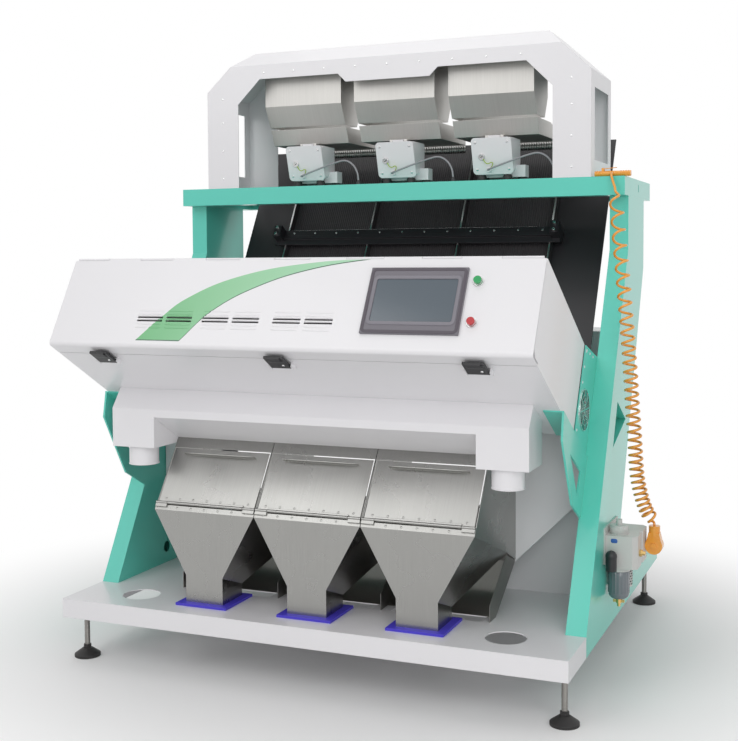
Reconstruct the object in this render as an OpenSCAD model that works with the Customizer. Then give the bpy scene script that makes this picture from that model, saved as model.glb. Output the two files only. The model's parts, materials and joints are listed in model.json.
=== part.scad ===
// Chute-type optical colour sorter with three channels.
// X runs across the machine, Y from front to back, Z up from the floor.

/* [Frame] */
// Width over the two side frames
machine_width = 1616; // [1596:1:1700]
// Depth of the base from front to back
base_depth = 1434; // [1400:1:1500]
// Height of the underside of the base above the floor
base_lift = 145; // [135:1:160]
// Section of the frame tubes and height of the base band
tube = 60; // [56:1:64]
// Wall of the frame tubes and the base sheet
frame_wall = 3; // [2:0.5:4]
// Lean of the front of the columns from upright, in degrees
column_lean = 29; // [28.5:0.1:29.5]
// Distance of the column's foot behind the front edge of the base
column_setback = 215; // [206:1:224]
// Depth of a column from front to back
column_depth = 384; // [365:1:400]
// Depth of a column under the top frame
column_head = 282; // [270:1:296]
// Height at which the back of a column turns upright
rear_knee = 1232; // [1220:1:1244]
// Distance of the top frame behind the front edge of the base
beam_front = 754; // [748:1:760]
// Height of the underside of the top frame
beam_height = 1466; // [1456:1:1480]
// Depth of the top frame from front to back
top_frame_depth = 467; // [462:1:480]
// Reach of the top frame in front of the columns
beam_overhang = 64; // [56:1:72]
// Depth of the deck that carries the feeder drives
deck_depth = 146; // [140:1:160]
// Thickness of that deck
deck_sheet = 6; // [4:1:8]
// Radius of the cable hole in the inner wall of a column
cable_hole_r = 20; // [12:1:24]

/* [Feet] */
// Radius of a foot pad
pad_r = 41; // [35:1:45]
// Radius of the levelling stem
stem_r = 8; // [6:0.5:10]
// Distance of the front feet behind the front edge of the base
front_foot_inset = 84; // [60:1:120]
// Distance of the rear feet in front of the back edge of the base
rear_foot_inset = 100; // [60:1:140]

/* [Base openings] */
// Radius of the two round holes in the base sheet
base_hole_r = 59; // [40:1:62]
// Distance of those holes from the middle
base_hole_x = 600; // [590:1:640]
// Distance of those holes behind the front edge
base_hole_y = 130; // [110:1:140]

/* [Optics box] */
// Tilt of the optics box and of the chutes, in degrees
optical_tilt = 30; // [29.5:0.1:30.5]
// Reach of the nose in front of the base
nose_reach = 128; // [110:1:140]
// Height of the nose corner above the floor
nose_height = 1018; // [1010:1:1026]
// Height of the front panel along its slope
box_height = 291; // [280:1:300]
// Length of the box along its side panels
box_length = 521; // [510:1:530]
// Sheet of the box and of its front door
box_sheet = 3; // [2:0.5:4]
// Radius of the rolled nose of the door
nose_r = 12; // [8:1:16]
// Depth of the door's lower lip, up to the seam
lip_depth = 55; // [45:1:60]
// Radius of the pin in the door's long hinge
door_pin_r = 2; // [1.5:0.25:2.25]
// Half the width of the window towards the chutes
window_half = 560; // [520:1:600]

/* [Door fittings] */
// Width of the touch screen's bezel
bezel_w = 279; // [250:1:300]
// Height of the touch screen's bezel
bezel_h = 201; // [180:1:210]
// Distance of the bezel's middle from the end of the box
bezel_inset = 346; // [338:1:354]
// Height of the bezel's middle up the panel
bezel_z = 155; // [145:1:160]
// Width of the screen itself
screen_w = 233; // [200:1:240]
// Height of the screen itself
screen_h = 129; // [110:1:140]
// Distance of the push buttons from the end of the box
button_inset = 176; // [144:1:180]
// Height of the start button up the panel
start_z = 216; // [190:1:230]
// Height of the stop button up the panel
stop_z = 93; // [70:1:120]
// Radius of a button's cap
button_r = 11; // [9:0.5:12]
// Radius of a button's stem
button_stem_r = 8; // [6:0.5:8.5]
// Travel of a push button
button_travel = 4; // [2:0.5:6]
// Distance of the outer latches from the ends of the box
latch_inset = 164; // [124:1:204]
// Half the width of a latch lever
latch_half = 30; // [26:1:44]
// Height of the rows of louvres up the panel
louvre_z = 88; // [84:1:96]

/* [Chutes] */
// Distance between the middles of two channels
pitch = 348; // [344:1:349]
// Length of a chute along its slope
chute_length = 1061; // [1030:1:1080]
// Length of the chute above the top frame
chute_head = 190; // [180:1:200]
// Gap between the chute and the rear tube of the top frame
chute_gap = 21; // [18:1:26]
// Half the width of the black panel behind the chutes
panel_half = 686; // [660:1:700]
// Thickness of the chute floor and of its panel
chute_sheet = 4; // [3:0.5:6]
// Height of the chute walls
chute_wall_h = 28; // [20:1:29]
// Thickness of the chute walls
chute_wall = 6; // [4:0.5:8]

/* [Product hoppers] */
// Distance of the hopper fronts behind the front edge of the base
hopper_front = 91; // [88:1:96]
// Height of the fold under the inspection doors
fold_height = 494; // [484:1:500]
// Height of the top of the outlet neck at the front
throat_height = 295; // [285:1:305]
// Width of an outlet neck
outlet_w = 128; // [110:1:140]
// Depth of an outlet neck
outlet_d = 123; // [110:1:130]
// Depth of the hopper funnel at the fold
funnel_depth = 322; // [310:1:330]
// Fall of the funnel towards the back, in degrees
funnel_fall = 20; // [19:0.5:21]
// Lean of the inspection doors from upright, in degrees
door_lean = 35; // [34:0.5:36]
// Length of an inspection door along its slope
door_length = 184; // [170:1:186]
// Sheet of the hoppers, troughs and feed hoppers
thin_sheet = 2; // [1.5:0.25:2.5]
// Gap between neighbouring hoppers
hopper_gap = 2; // [1:0.5:4]
// Radius of the inspection doors' hinge pins
hinge_pin_r = 2.5; // [2:0.25:3]
// Width of the sealing frame around an outlet
gasket_band = 24; // [18:1:26]
// Thickness of the sealing frame
gasket_h = 8; // [5:1:12]

/* [Dust duct] */
// Width of the dust duct
duct_width = 1350; // [1330:1:1370]
// Distance of the duct's front behind the front edge of the base
duct_front = 95; // [90:1:100]
// Drop of the duct's upper front edge below the optics box
duct_drop = 86; // [80:1:92]
// Height of the duct's front strip
duct_strip = 21; // [16:1:26]
// Height of the end blocks
block_drop = 121; // [112:1:130]
// Depth of the end blocks
block_depth = 140; // [130:1:145]
// Width of an end block
block_width = 152; // [145:1:160]
// Radius of a dust spout
spout_r = 46.5; // [40:0.5:50]
// Length of a dust spout
spout_length = 60; // [45:1:70]

/* [Top cover] */
// Width of the top cover
cover_width = 1400; // [1380:1:1430]
// Depth of the top cover
cover_depth = 315; // [310:1:330]
// Height of the top cover above the top frame
cover_height = 488; // [478:1:500]
// Height of the shoulders above the top frame
shoulder_height = 345; // [335:1:352]
// Half the width of the flat crown
crown_half = 544; // [536:1:552]
// Depth of the bevels along the front and back of the crown
bevel_depth = 80; // [74:1:84]
// Fall of those bevels
bevel_fall = 55; // [48:1:60]
// Half the width of the front opening
opening_half = 575; // [560:1:590]

/* [Feeders] */
// Width of a feed hopper and of its tray
feed_width = 298; // [288:1:304]
// Distance of the feed hoppers behind the cover's front
feed_inset = 63; // [59:1:67]
// Depth of a feed hopper
feed_depth = 183; // [176:1:190]
// Height of the feed hoppers' outlets above the top frame
feed_outlet = 220; // [218:1:226]
// Height of the sloping foot of a feed hopper
feed_foot = 71; // [64:1:78]
// Height of the tray floor above the top frame
tray_height = 157; // [154:1:160]
// Height of the tray walls
tray_wall_h = 55; // [48:1:56]
// Length of a tray
tray_length = 275; // [270:1:282]
// Half the width of a drive housing
drive_half = 70; // [64:1:74]
// Height of a drive housing
drive_h = 121; // [115:1:122]
// Tilt of a drive housing, in degrees
drive_tilt = 17; // [15:0.5:18]

/* [Fans] */
// Radius of the cooling fans' openings
fan_r = 60; // [54:1:62]
// Radius of a fan's shaft
fan_shaft_r = 3; // [2.5:0.25:4]

/* [Air unit] */
// Width of one block of the air unit along the side frame
air_block = 90; // [84:1:94]
// Reach of the blocks from the side frame
air_reach = 97; // [90:1:100]
// Height of the blocks
air_h = 98; // [92:1:104]
// Height of the blocks' underside above the floor
air_z = 345; // [340:1:348]
// Distance of the air unit behind the front edge of the base
air_y = 455; // [452:1:458]
// Radius of the filter bowl
bowl_r = 31; // [28:1:32]
// Length of the filter bowl
bowl_h = 100; // [90:1:104]
// Radius of the drain cock's stem
drain_r = 5; // [4:0.5:6]
// Radius of the bore that takes the supply hose
inlet_r = 6; // [4:0.5:7]

/* [Hose and air gun] */
// Outer radius of the spiral hose
coil_r = 23; // [20:1:24]
// Radius of the hose's own tube
hose_r = 4; // [3:0.5:5]
// Radius of the air gun's body
gun_r = 9; // [8:0.5:10]

/* [Fits] */
// Radial clearance of a pin in its bore
running_clearance = 0.06; // [0.03:0.01:0.09]
// Clearance at each side of a tray's guide
guide_clearance = 0.08; // [0.05:0.01:0.1]
// Free gap between pieces that pass each other
pass_gap = 4; // [3:0.5:5]

/* [Hidden] */
$fn = 48;
white = [0.92, 0.91, 0.92];
green = [0.36, 0.78, 0.70];
steel = [0.74, 0.73, 0.71];
black = [0.13, 0.12, 0.13];
grey = [0.60, 0.61, 0.63];
orange = [0.96, 0.62, 0.20];

half_w = machine_width / 2;
inner_w = half_w - tube;
base_top = base_lift + tube;
beam_top = beam_height + tube;
frame_back = beam_front + top_frame_depth;
column_face = beam_front + beam_overhang;
foot_x = half_w - tube / 2;
channels = [-pitch, 0, pitch];

// Front face of a column at a height
function column_front(z) = min(column_setback + (z - base_top) * tan(column_lean), column_face);
// A point of the tilted optics box as depth and height
function box_point(u, w) = [
    u * cos(optical_tilt) + w * sin(optical_tilt) - nose_reach,
    w * cos(optical_tilt) - u * sin(optical_tilt) + nose_height
];
// Height of the box's underside at a depth
function underside(y) = nose_height - (y + nose_reach) * tan(optical_tilt);
// A point of the inspection door plane as depth and height
function door_point(n, s) = [
    hopper_front + s * sin(door_lean) + n * cos(door_lean),
    fold_height + s * cos(door_lean) - n * sin(door_lean)
];

column_back = column_face + column_head;
column_turn = base_top + (column_face - column_setback) / tan(column_lean);
column_outline = [
    [column_setback, base_lift], [base_depth, base_lift], [base_depth, base_top],
    [column_setback + column_depth, base_top], [column_back, rear_knee],
    [column_back, beam_height], [column_face, beam_height], [column_face, column_turn],
    [column_setback, base_top]
];
// Triangular window through a column
window_top = base_top + 615;
window_mid = base_top + 544;
window_low = base_top + 481;
column_window = [
    [column_front(window_top) + 97, window_top], [column_front(window_mid) + 270, window_mid],
    [column_front(window_low) + 101, window_low]
];

// Bracket from a column to the underside of the optics box
bracket_sheet = 6;
bracket_u = 345;
bracket_nose = [-16, -82];
bracket_toe = [101, -282];
bracket_drop = 342;
plate_lap = 40;
flange_w = 53;
flange_sheet = 4;
bracket_start = box_point(bracket_u, 0);
bracket_foot_z = bracket_start[1] - bracket_drop;
notch_y = (column_setback + (nose_height - base_top - nose_reach * tan(optical_tilt)) * tan(column_lean))
    / (1 + tan(optical_tilt) * tan(column_lean));

box_half = inner_w - pass_gap;
door_gap = 3;
knuckles = 13;
knuckle_pitch = 2 * (box_half - 8) / knuckles;
door_pin_u = 2 * door_pin_r;
door_pin_w = box_height + 1;
roof_start = 4 * door_pin_r + 2;
bezel_x = box_half - bezel_inset;
button_x = box_half - button_inset;
latch_xs = [latch_inset - box_half, 0, box_half - latch_inset];
latch_u = lip_depth + 33;
latch_w = -8;
latch_pin_r = 3;

chute_y = frame_back - tube - chute_gap;
chute_half = pitch * 1.5 - 12;
rear_at = [chute_y, beam_top];
bar_z = -232;

hopper_half = (pitch - hopper_gap) / 2;
funnel_back = hopper_front + funnel_depth;
funnel_back_z = fold_height - funnel_depth * tan(funnel_fall);
hinge_n = -4;
hinge_s = 22;
knuckle_r = hinge_pin_r + 2;
door_start = hinge_s + 6;
door_end = door_start + door_length;
strip_end = door_end + 55;
chamber_y = hopper_front + 421;
ejector_z = chute_head - chute_length - 120;
ejector_front = chute_y + 12 * cos(optical_tilt) + (ejector_z + 14) * sin(optical_tilt);
wall_y = ejector_front - 42;
wall_top = base_top + 265;
wing_top = base_top + 552;
wing_x = pitch + hopper_half - thin_sheet - 1;
wing_end = inner_w - frame_wall;
trough_knee = base_top + 117;
outlet_back = hopper_front + outlet_d;
trough_slot = [outlet_back + gasket_band + 8, outlet_back + 88];

duct_half = duct_width / 2;
duct_top = underside(duct_front) - duct_drop;
block_bottom = duct_top - block_drop;
duct_roof = (underside(duct_front) - duct_top) / (tan(optical_tilt) + 1.3077);
block_back = duct_front + block_depth;

cover_half = cover_width / 2;
cover_back = beam_front + cover_depth;
cover_top = beam_top + cover_height;
cover_sheet = 3;
feed_front = beam_front + feed_inset;
feed_back = feed_front + feed_depth;
feed_top = cover_top - cover_sheet;
inlet_front = beam_front + bevel_depth + 12;
inlet_back = cover_back - bevel_depth - 12;
feed_low = beam_top + feed_outlet;
tray_z = beam_top + tray_height;
tray_front = feed_front + 68;
drive_low = 25;
drive_round = 14;
lead_r = 3;
lead_x = -13;
lead_z = 15;
lead_out = 14;
drive_y = beam_front + tube + 38;
guide_half = 20;

fan_z = (box_point(box_length, 0)[1] + box_point(box_length, box_height)[1]) / 2 - 68;
fan_line = box_point(box_length, 0)[0] + (fan_z - box_point(box_length, 0)[1]) * tan(optical_tilt);
// Room between a fan guard and the leaning column
guard_room = 4;
fan_limit = column_front(fan_z) - (fan_r + guard_room) / cos(column_lean);
fan_y = min(fan_line + 90, fan_limit);

air_x = half_w + air_reach;
air_mid = half_w + 36;
air_top = air_z + air_h;
bowl_y = air_y + air_block / 2;
swivel_y = air_y + air_block * 1.5 + 17;
swivel_z = air_z + 45;
swivel_r = 26;
swivel_x = air_x + 26;
neck_top = swivel_z + 60;
neck_r = 17;

gun_y = beam_front + 21;
gun_z = beam_top + gun_r;
gun_x = half_w - 42;
gun_length = 115;

// Route of the spiral hose from the swivel up to the top frame
coil_route = [
    [swivel_x, swivel_y, neck_top], [swivel_x - 4, swivel_y - 1, neck_top + 12], [917, 600, 480],
    [903, 594, 510], [890, 591, 555], [880, 590, 610], [875, 590, 680], [871, 590, 745], [866, 590, 805],
    [860, 590, 898], [853, 590, 990], [847, 592, 1060], [838, 602, 1140], [827, 622, 1222],
    [813, 652, 1303], [798, 690, 1390], [783, 722, 1487]
];
tail_route = [
    [783, 722, 1487], [777, 728, 1502], [771, 735, 1518], [767, 743, 1530],
    [gun_x, gun_y - gun_r - 9, gun_z], [gun_x, gun_y - gun_r - 3, gun_z]
];

front_edge = nose_r * (cos(optical_tilt) + sin(optical_tilt)) - nose_reach - nose_r;
right_edge = swivel_x + swivel_r;
left_edge = max(half_w, half_w - tube / 2 + pad_r);
centre = [(right_edge - left_edge) / 2, (base_depth + front_edge) / 2];

// Moves the part so that the middle of its footprint is the origin
module place() {
    translate([-centre[0], -centre[1], 0]) children();
}
// A depth and height outline drawn out across the machine
module across(x_from, x_to) {
    translate([x_from, 0, 0]) rotate([90, 0, 90]) linear_extrude(height = x_to - x_from) children();
}
// A width and height outline drawn out from front to back
module facing(y_from, y_to) {
    translate([0, y_to, 0]) rotate([90, 0, 0]) linear_extrude(height = y_to - y_from) children();
}
module both_sides() {
    children();
    mirror([1, 0, 0]) children();
}
// A straight band of width 2t from a to b, lengthened by t at each end
module band(a, b, t) {
    d = (b - a) / norm(b - a);
    n = [-d[1], d[0]] * t;
    polygon([a - d * t - n, b + d * t - n, b + d * t + n, a - d * t + n]);
}
// The edge of an outline, t wide, on its inner side
module rim(p, t) {
    intersection() {
        polygon(p);
        union() {
            for (i = [0 : len(p) - 1]) band(p[i], p[(i + 1) % len(p)], t);
        }
    }
}
// A folded sheet, t thick, along a line of points
module fold(p, t) {
    for (i = [0 : len(p) - 2]) band(p[i], p[i + 1], t / 2);
}
module in_box() {
    translate([0, -nose_reach, nose_height]) rotate([-optical_tilt, 0, 0]) children();
}
module in_chute() {
    translate([0, chute_y, beam_top]) rotate([-optical_tilt, 0, 0]) children();
}
module in_door() {
    translate([0, hopper_front, fold_height]) rotate([-door_lean, 0, 0]) children();
}
module box(low, high) {
    translate(low) cube(high - low);
}
// A round bar across the machine
module bar(x_from, x_to, r) {
    translate([x_from, 0, 0]) rotate([0, 90, 0]) cylinder(r = r, h = x_to - x_from);
}
// A rectangle with round corners, about its middle
module rounded(w, h, r) {
    square([w - 2 * r, h], center = true);
    square([w, h - 2 * r], center = true);
    for (x = [-1, 1], y = [-1, 1]) translate([x * (w / 2 - r), y * (h / 2 - r)]) circle(r = r);
}
// A round tube swept along a route of points, its rings set up from one fixed direction
module sweep(route, r, sides, start, side = [1, 0, 0]) {
    n = len(route);
    rings = [for (i = [0 : n - 1])
        let (d = route[min(i + 1, n - 1)] - route[max(i - 1, 0)],
             f = i == 0 ? start / norm(start) : d / norm(d),
             s = cross(side, f) / norm(cross(side, f)),
             t = cross(f, s))
        for (k = [0 : sides - 1]) route[i] + r * (cos(360 * k / sides) * s + sin(360 * k / sides) * t)];
    walls = [for (i = [0 : n - 2]) for (k = [0 : sides - 1])
        [i * sides + k, (i + 1) * sides + k, (i + 1) * sides + (k + 1) % sides, i * sides + (k + 1) % sides]];
    caps = [[for (k = [0 : sides - 1]) k], [for (k = [0 : sides - 1]) n * sides - 1 - k]];
    polyhedron(points = rings, faces = concat(walls, caps), convexity = 6);
}

// Base

base_outline = [
    [-half_w, 0], [half_w, 0], [half_w, column_setback], [inner_w, column_setback],
    [inner_w, base_depth], [-inner_w, base_depth], [-inner_w, column_setback], [-half_w, column_setback]
];
module base_tray() {
    color(white) place() translate([0, 0, base_lift])
        linear_extrude(height = tube - frame_wall) rim(base_outline, frame_wall);
}

// Deck on the tray's rim, with the hopper outlets, the hose holes and the sockets of the front feet
module base_deck() {
    color(white) place() difference() {
        union() {
            translate([0, 0, base_top - frame_wall]) linear_extrude(height = frame_wall) difference() {
                polygon(base_outline);
                for (s = [-1, 1]) translate([s * base_hole_x, base_hole_y]) circle(r = base_hole_r);
                for (x = channels) {
                    translate([x - outlet_w / 2 - 1, hopper_front - 1]) square([outlet_w + 2, outlet_d + 2]);
                    translate([x - pitch / 2 + 30, trough_slot[0]])
                        square([pitch - 60, trough_slot[1] - trough_slot[0]]);
                }
            }
            for (s = [-1, 1]) translate([s * foot_x, front_foot_inset, base_lift])
                cylinder(r = stem_r + 10, h = tube - frame_wall);
        }
        for (s = [-1, 1]) translate([s * foot_x, front_foot_inset, base_lift - 1])
            cylinder(r = stem_r + running_clearance, h = tube - frame_wall + 1);
    }
}

module foot(x, y) {
    nut_r = stem_r + 5;
    color(black) place() translate([x, y, 0]) {
        cylinder(r = pad_r, h = 8);
        translate([0, 0, 8]) cylinder(r1 = pad_r, r2 = nut_r + 3, h = 18);
        translate([0, 0, 26]) cylinder(r = nut_r, h = 12, $fn = 6);
        translate([0, 0, 30]) cylinder(r = stem_r, h = base_lift + 10);
        translate([0, 0, base_lift - 12.5]) cylinder(r = nut_r, h = 12, $fn = 6);
    }
}
module foot_front_left() { foot(-foot_x, front_foot_inset); }
module foot_front_right() { foot(foot_x, front_foot_inset); }
module foot_rear_left() { foot(-foot_x, base_depth - rear_foot_inset); }
module foot_rear_right() { foot(foot_x, base_depth - rear_foot_inset); }

// Side frames

module bracket_outline() {
    difference() {
        polygon([
            bracket_start, [notch_y, underside(notch_y)], [notch_y + 20, underside(notch_y)],
            [column_front(bracket_foot_z) + 20, bracket_foot_z],
            [column_front(bracket_foot_z), bracket_foot_z],
            bracket_start + bracket_toe, bracket_start + bracket_nose
        ]);
        polygon([
            bracket_start + [74, -130], [notch_y - 90, underside(notch_y) - 30],
            [column_front(bracket_foot_z + 72) - 86, bracket_foot_z + 72]
        ]);
    }
}
module side_frame() {
    rear_foot = [foot_x, base_depth - rear_foot_inset, base_lift];
    difference() {
        union() {
            across(inner_w, half_w) difference() {
                union() {
                    rim(column_outline, frame_wall);
                    rim_window();
                }
                polygon(column_window);
            }
            across(half_w - frame_wall, half_w) difference() {
                polygon(column_outline);
                polygon(column_window);
            }
            across(inner_w, inner_w + frame_wall) difference() {
                polygon(column_outline);
                polygon(column_window);
                translate([column_setback + 300, base_top + 55]) circle(r = cable_hole_r);
            }
            across(inner_w, inner_w + bracket_sheet) bracket_outline();
            in_box() box([inner_w - flange_w, bracket_u, -flange_sheet],
                [inner_w + bracket_sheet, box_length, 0]);
            translate(rear_foot) cylinder(r = stem_r + 10, h = tube - frame_wall);
        }
        translate(rear_foot - [0, 0, 1])
            cylinder(r = stem_r + running_clearance, h = tube - frame_wall + 1);
    }
}
module rim_window() {
    for (i = [0 : 2]) band(column_window[i], column_window[(i + 1) % 3], frame_wall);
}
module right_side_frame() { color(green) place() side_frame(); }
module left_side_frame() { color(green) place() mirror([1, 0, 0]) side_frame(); }

// Plate inside a column with the cooling fan's shroud

module side_plate() {
    rear = box_point(box_length + 5, 0);
    top = box_point(box_length + 5, box_height);
    low_y = notch_y + plate_lap;
    high = top[1] - 58;
    difference() {
        across(inner_w - frame_wall, inner_w) polygon([
            top, rear, [low_y, underside(low_y)], [column_front(high) + plate_lap, high]
        ]);
        translate([0, fan_y, fan_z]) bar(inner_w - frame_wall - 1, inner_w + 1, fan_r);
    }
    translate([0, fan_y, fan_z]) difference() {
        bar(inner_w - 25, inner_w - frame_wall + 1, fan_r + 4);
        bar(inner_w - 26, inner_w + 1, fan_r);
    }
}
module right_side_plate() { color(green) place() side_plate(); }
module left_side_plate() { color(green) place() mirror([1, 0, 0]) side_plate(); }

// Wire guards in front of the fans, with the shafts the fans turn on
module fan_guards() {
    wire = 3;
    color(steel) place() both_sides() translate([0, fan_y, fan_z]) {
        for (r = [fan_r + 2, 0.74 * fan_r, 0.5 * fan_r, 0.28 * fan_r]) difference() {
            bar(inner_w, inner_w + wire, r + wire / 2);
            bar(inner_w - 1, inner_w + wire + 1, r - wire / 2);
        }
        for (a = [0 : 45 : 135]) rotate([a, 0, 0])
            box([inner_w, -fan_r - 2, -wire / 2], [inner_w + wire, fan_r + 2, wire / 2]);
        bar(inner_w - 25, inner_w + wire, fan_shaft_r);
    }
}

module fan() {
    hub_r = 17;
    blade = fan_r - hub_r - 1;
    translate([0, fan_y, fan_z]) difference() {
        union() {
            bar(inner_w - 22, inner_w - 8, hub_r);
            for (a = [0 : 60 : 300]) rotate([a, 0, 0]) translate([inner_w - 15, 0, hub_r - 2])
                rotate([0, 0, 55]) box([-1.2, -9, 0], [1.2, 9, blade]);
        }
        bar(inner_w - 23, inner_w - 7, fan_shaft_r + running_clearance);
    }
}
module right_fan() { color(black) place() fan(); }
module left_fan() { color(black) place() mirror([1, 0, 0]) fan(); }

// Top frame: a ring of square tube with a deck for the feeder drives

module top_frame() {
    module ring() {
        difference() {
            translate([-half_w, beam_front]) square([machine_width, top_frame_depth]);
            translate([-inner_w, beam_front + tube])
                square([2 * inner_w, top_frame_depth - 2 * tube]);
        }
    }
    module walls() {
        difference() {
            translate([-half_w, beam_front]) square([machine_width, top_frame_depth]);
            translate([-half_w + frame_wall, beam_front + frame_wall])
                square([machine_width - 2 * frame_wall, top_frame_depth - 2 * frame_wall]);
        }
        difference() {
            translate([-inner_w - frame_wall, beam_front + tube - frame_wall]) square(
                [2 * (inner_w + frame_wall), top_frame_depth - 2 * tube + 2 * frame_wall]);
            translate([-inner_w, beam_front + tube])
                square([2 * inner_w, top_frame_depth - 2 * tube]);
        }
    }
    color(green) place() difference() {
        union() {
            translate([0, 0, beam_height]) linear_extrude(height = tube) walls();
            translate([0, 0, beam_height]) linear_extrude(height = frame_wall) ring();
            translate([0, 0, beam_top - frame_wall]) linear_extrude(height = frame_wall) ring();
            box([-inner_w - 1, beam_front + tube - 1, beam_top - deck_sheet],
                [inner_w + 1, beam_front + tube + deck_depth, beam_top]);
        }
        both_sides() box([half_w - frame_wall - 1, beam_front + 238, beam_height + 20],
            [half_w + 1, beam_front + 248, beam_height + 44]);
    }
}

// White panels behind the hoppers

module rear_wall() {
    sheet = frame_wall;
    color(white) place() {
        box([-inner_w, wall_y, base_top], [inner_w, wall_y + sheet, wall_top]);
        both_sides() {
            box([wing_x, wall_y, wall_top - 1], [wing_end, wall_y + sheet, wing_top]);
            box([wing_x, chamber_y, wing_top - sheet], [wing_end, wall_y + sheet, wing_top]);
            facing(chamber_y, chamber_y + sheet) polygon([
                [wing_x, trough_knee], [wing_x + 185, trough_knee + 185], [wing_end, trough_knee + 185],
                [wing_end, wing_top], [wing_x, wing_top]
            ]);
        }
    }
}

module rear_box() {
    outline = [for (p = [[-365, -836], [-175, -507], [75, -507], [-130, -926], [-320, -926]]) rear_at + p];
    sheet = box_sheet;
    color(white) place() difference() {
        union() {
            across(-inner_w, inner_w) rim(outline, sheet);
            both_sides() across(inner_w - sheet, inner_w) polygon(outline);
        }
        translate([0, rear_at[0], rear_at[1]])
            box([-window_half, -350, -786], [window_half, -250, -666]);
    }
}

module rear_optics() {
    rail_half = inner_w - box_sheet;
    color(grey) place() translate([0, rear_at[0], rear_at[1]]) {
        box([-rail_half, -130, -726], [rail_half, -110, -666]);
        for (x = channels) {
            box([x - 40, -190, -736], [x + 40, -129, -656]);
            translate([x, -189, -696]) rotate([90, 0, 0]) cylinder(r = 22, h = 40);
        }
    }
}

module ejector_bar() {
    color(grey) place() in_chute() {
        box([-inner_w, 24, ejector_z], [inner_w, 70, ejector_z + 40]);
        for (x = channels)
            box([x - pitch / 2 + 8, 12, ejector_z + 14], [x + pitch / 2 - 8, 25, ejector_z + 26]);
    }
}

// Optics box with its fixed hinge pin and latch lugs

module front_box() {
    s = box_sheet;
    cheek = [
        [roof_start, box_height], [door_gap + s, box_height - 8], [door_gap + s, 2 * nose_r],
        [2 * nose_r, s + 5], [lip_depth + door_gap, s + 5], [lip_depth + door_gap, 0],
        [box_length, 0], [box_length, box_height]
    ];
    color(white) place() in_box() {
        both_sides() across(box_half - s, box_half) polygon(cheek);
        box([-box_half, lip_depth + door_gap, 0], [box_half, box_length, s]);
        box([-box_half, roof_start, box_height - s], [box_half, box_length, box_height]);
        difference() {
            box([-box_half, box_length - s, 0], [box_half, box_length, box_height]);
            box([-window_half, box_length - s - 1, 90], [window_half, box_length + 1, 200]);
        }
        translate([0, door_pin_u, door_pin_w]) bar(-box_half + 8, box_half - 8, door_pin_r);
        for (k = [0 : 2 : knuckles - 1]) {
            x = knuckle_start(k);
            translate([0, door_pin_u, door_pin_w]) bar(x, x + knuckle_pitch - 1, 2 * door_pin_r);
            box([x, door_pin_u, box_height - s], [x + knuckle_pitch - 1, roof_start + 2, door_pin_w]);
        }
        for (x = latch_xs) {
            for (k = [-1, 1]) translate([x + k * (latch_half + 5), 0, 0])
                box([-3, latch_u - 10, latch_w - 6], [3, latch_u + 12, 1]);
            translate([x, latch_u, latch_w]) bar(-latch_half - 4, latch_half + 4, latch_pin_r);
        }
    }
}

module front_glass() {
    back = box_length - box_sheet;
    color([0.6, 0.7, 0.75]) place() in_box()
        box([-window_half - 6, back - 4, 84], [window_half + 6, back, 206]);
}

module front_optics() {
    s = box_sheet;
    color(grey) place() in_box() {
        box([-box_half + s, 330, 90], [box_half - s, 350, 130]);
        for (x = channels) {
            box([x - 40, 350, 105], [x + 40, 420, 185]);
            translate([x, 419, 145]) rotate([-90, 0, 0]) cylinder(r = 22, h = 40);
        }
        for (w = [45, 235]) translate([0, 485, w]) bar(-box_half + s, box_half - s, 14);
    }
}

// Cameras and lamps of both optics boxes
module camera_sets() {
    front_optics();
    rear_optics();
}

// Front door of the optics box, hinged along its top edge

// Where a knuckle of the long hinge begins
function knuckle_start(k) = 8 - box_half + k * knuckle_pitch + 0.5;
module front_door() {
    s = box_sheet;
    top = box_height - s - 1;
    color(white) place() in_box() difference() {
        union() {
            box([-box_half, 0, nose_r], [box_half, s, top]);
            intersection() {
                translate([0, nose_r, nose_r]) difference() {
                    bar(-box_half, box_half, nose_r);
                    bar(-box_half - 1, box_half + 1, nose_r - s);
                }
                box([-box_half - 1, -1, -1], [box_half + 1, nose_r, nose_r]);
            }
            box([-box_half, nose_r, 0], [box_half, lip_depth, s]);
            for (k = [1 : 2 : knuckles - 2]) {
                x = knuckle_start(k);
                translate([0, door_pin_u, door_pin_w]) bar(x, x + knuckle_pitch - 1, 2 * door_pin_r);
                box([x, 0, top - 1], [x + knuckle_pitch - 1, s, door_pin_w]);
            }
            for (z = [start_z, stop_z]) translate([button_x, s, z]) rotate([90, 0, 0])
                cylinder(r = button_r + 4, h = s + 3);
        }
        translate([0, door_pin_u, door_pin_w]) bar(-box_half, box_half, door_pin_r + running_clearance);
        for (z = [start_z, stop_z]) translate([button_x, s + 1, z]) rotate([90, 0, 0])
            cylinder(r = button_stem_r + running_clearance, h = s + 10);
        box([bezel_x - screen_w / 2 - 9, -1, bezel_z - screen_h / 2 - 9],
            [bezel_x + screen_w / 2 + 9, s + 1, bezel_z + screen_h / 2 + 9]);
        for (x = [-367, -149, 78], k = [0 : 1], row = [0 : 1])
            translate([x - 92 + 98 * k, -1, louvre_z - 6 + 11 * row]) cube([86, s + 2, 5]);
    }
}

module screen_bezel() {
    w = bezel_w / 2;
    h = bezel_h / 2;
    color([0.33, 0.33, 0.37]) place() in_box() translate([bezel_x, 0, bezel_z]) difference() {
        union() {
            box([-w, -8, -h], [w, 0, h]);
            box([-screen_w / 2 - 8, -1, -screen_h / 2 - 8], [screen_w / 2 + 8, 38, screen_h / 2 + 8]);
        }
        box([-screen_w / 2, -9, -screen_h / 2], [screen_w / 2, -5, screen_h / 2]);
    }
}

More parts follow.
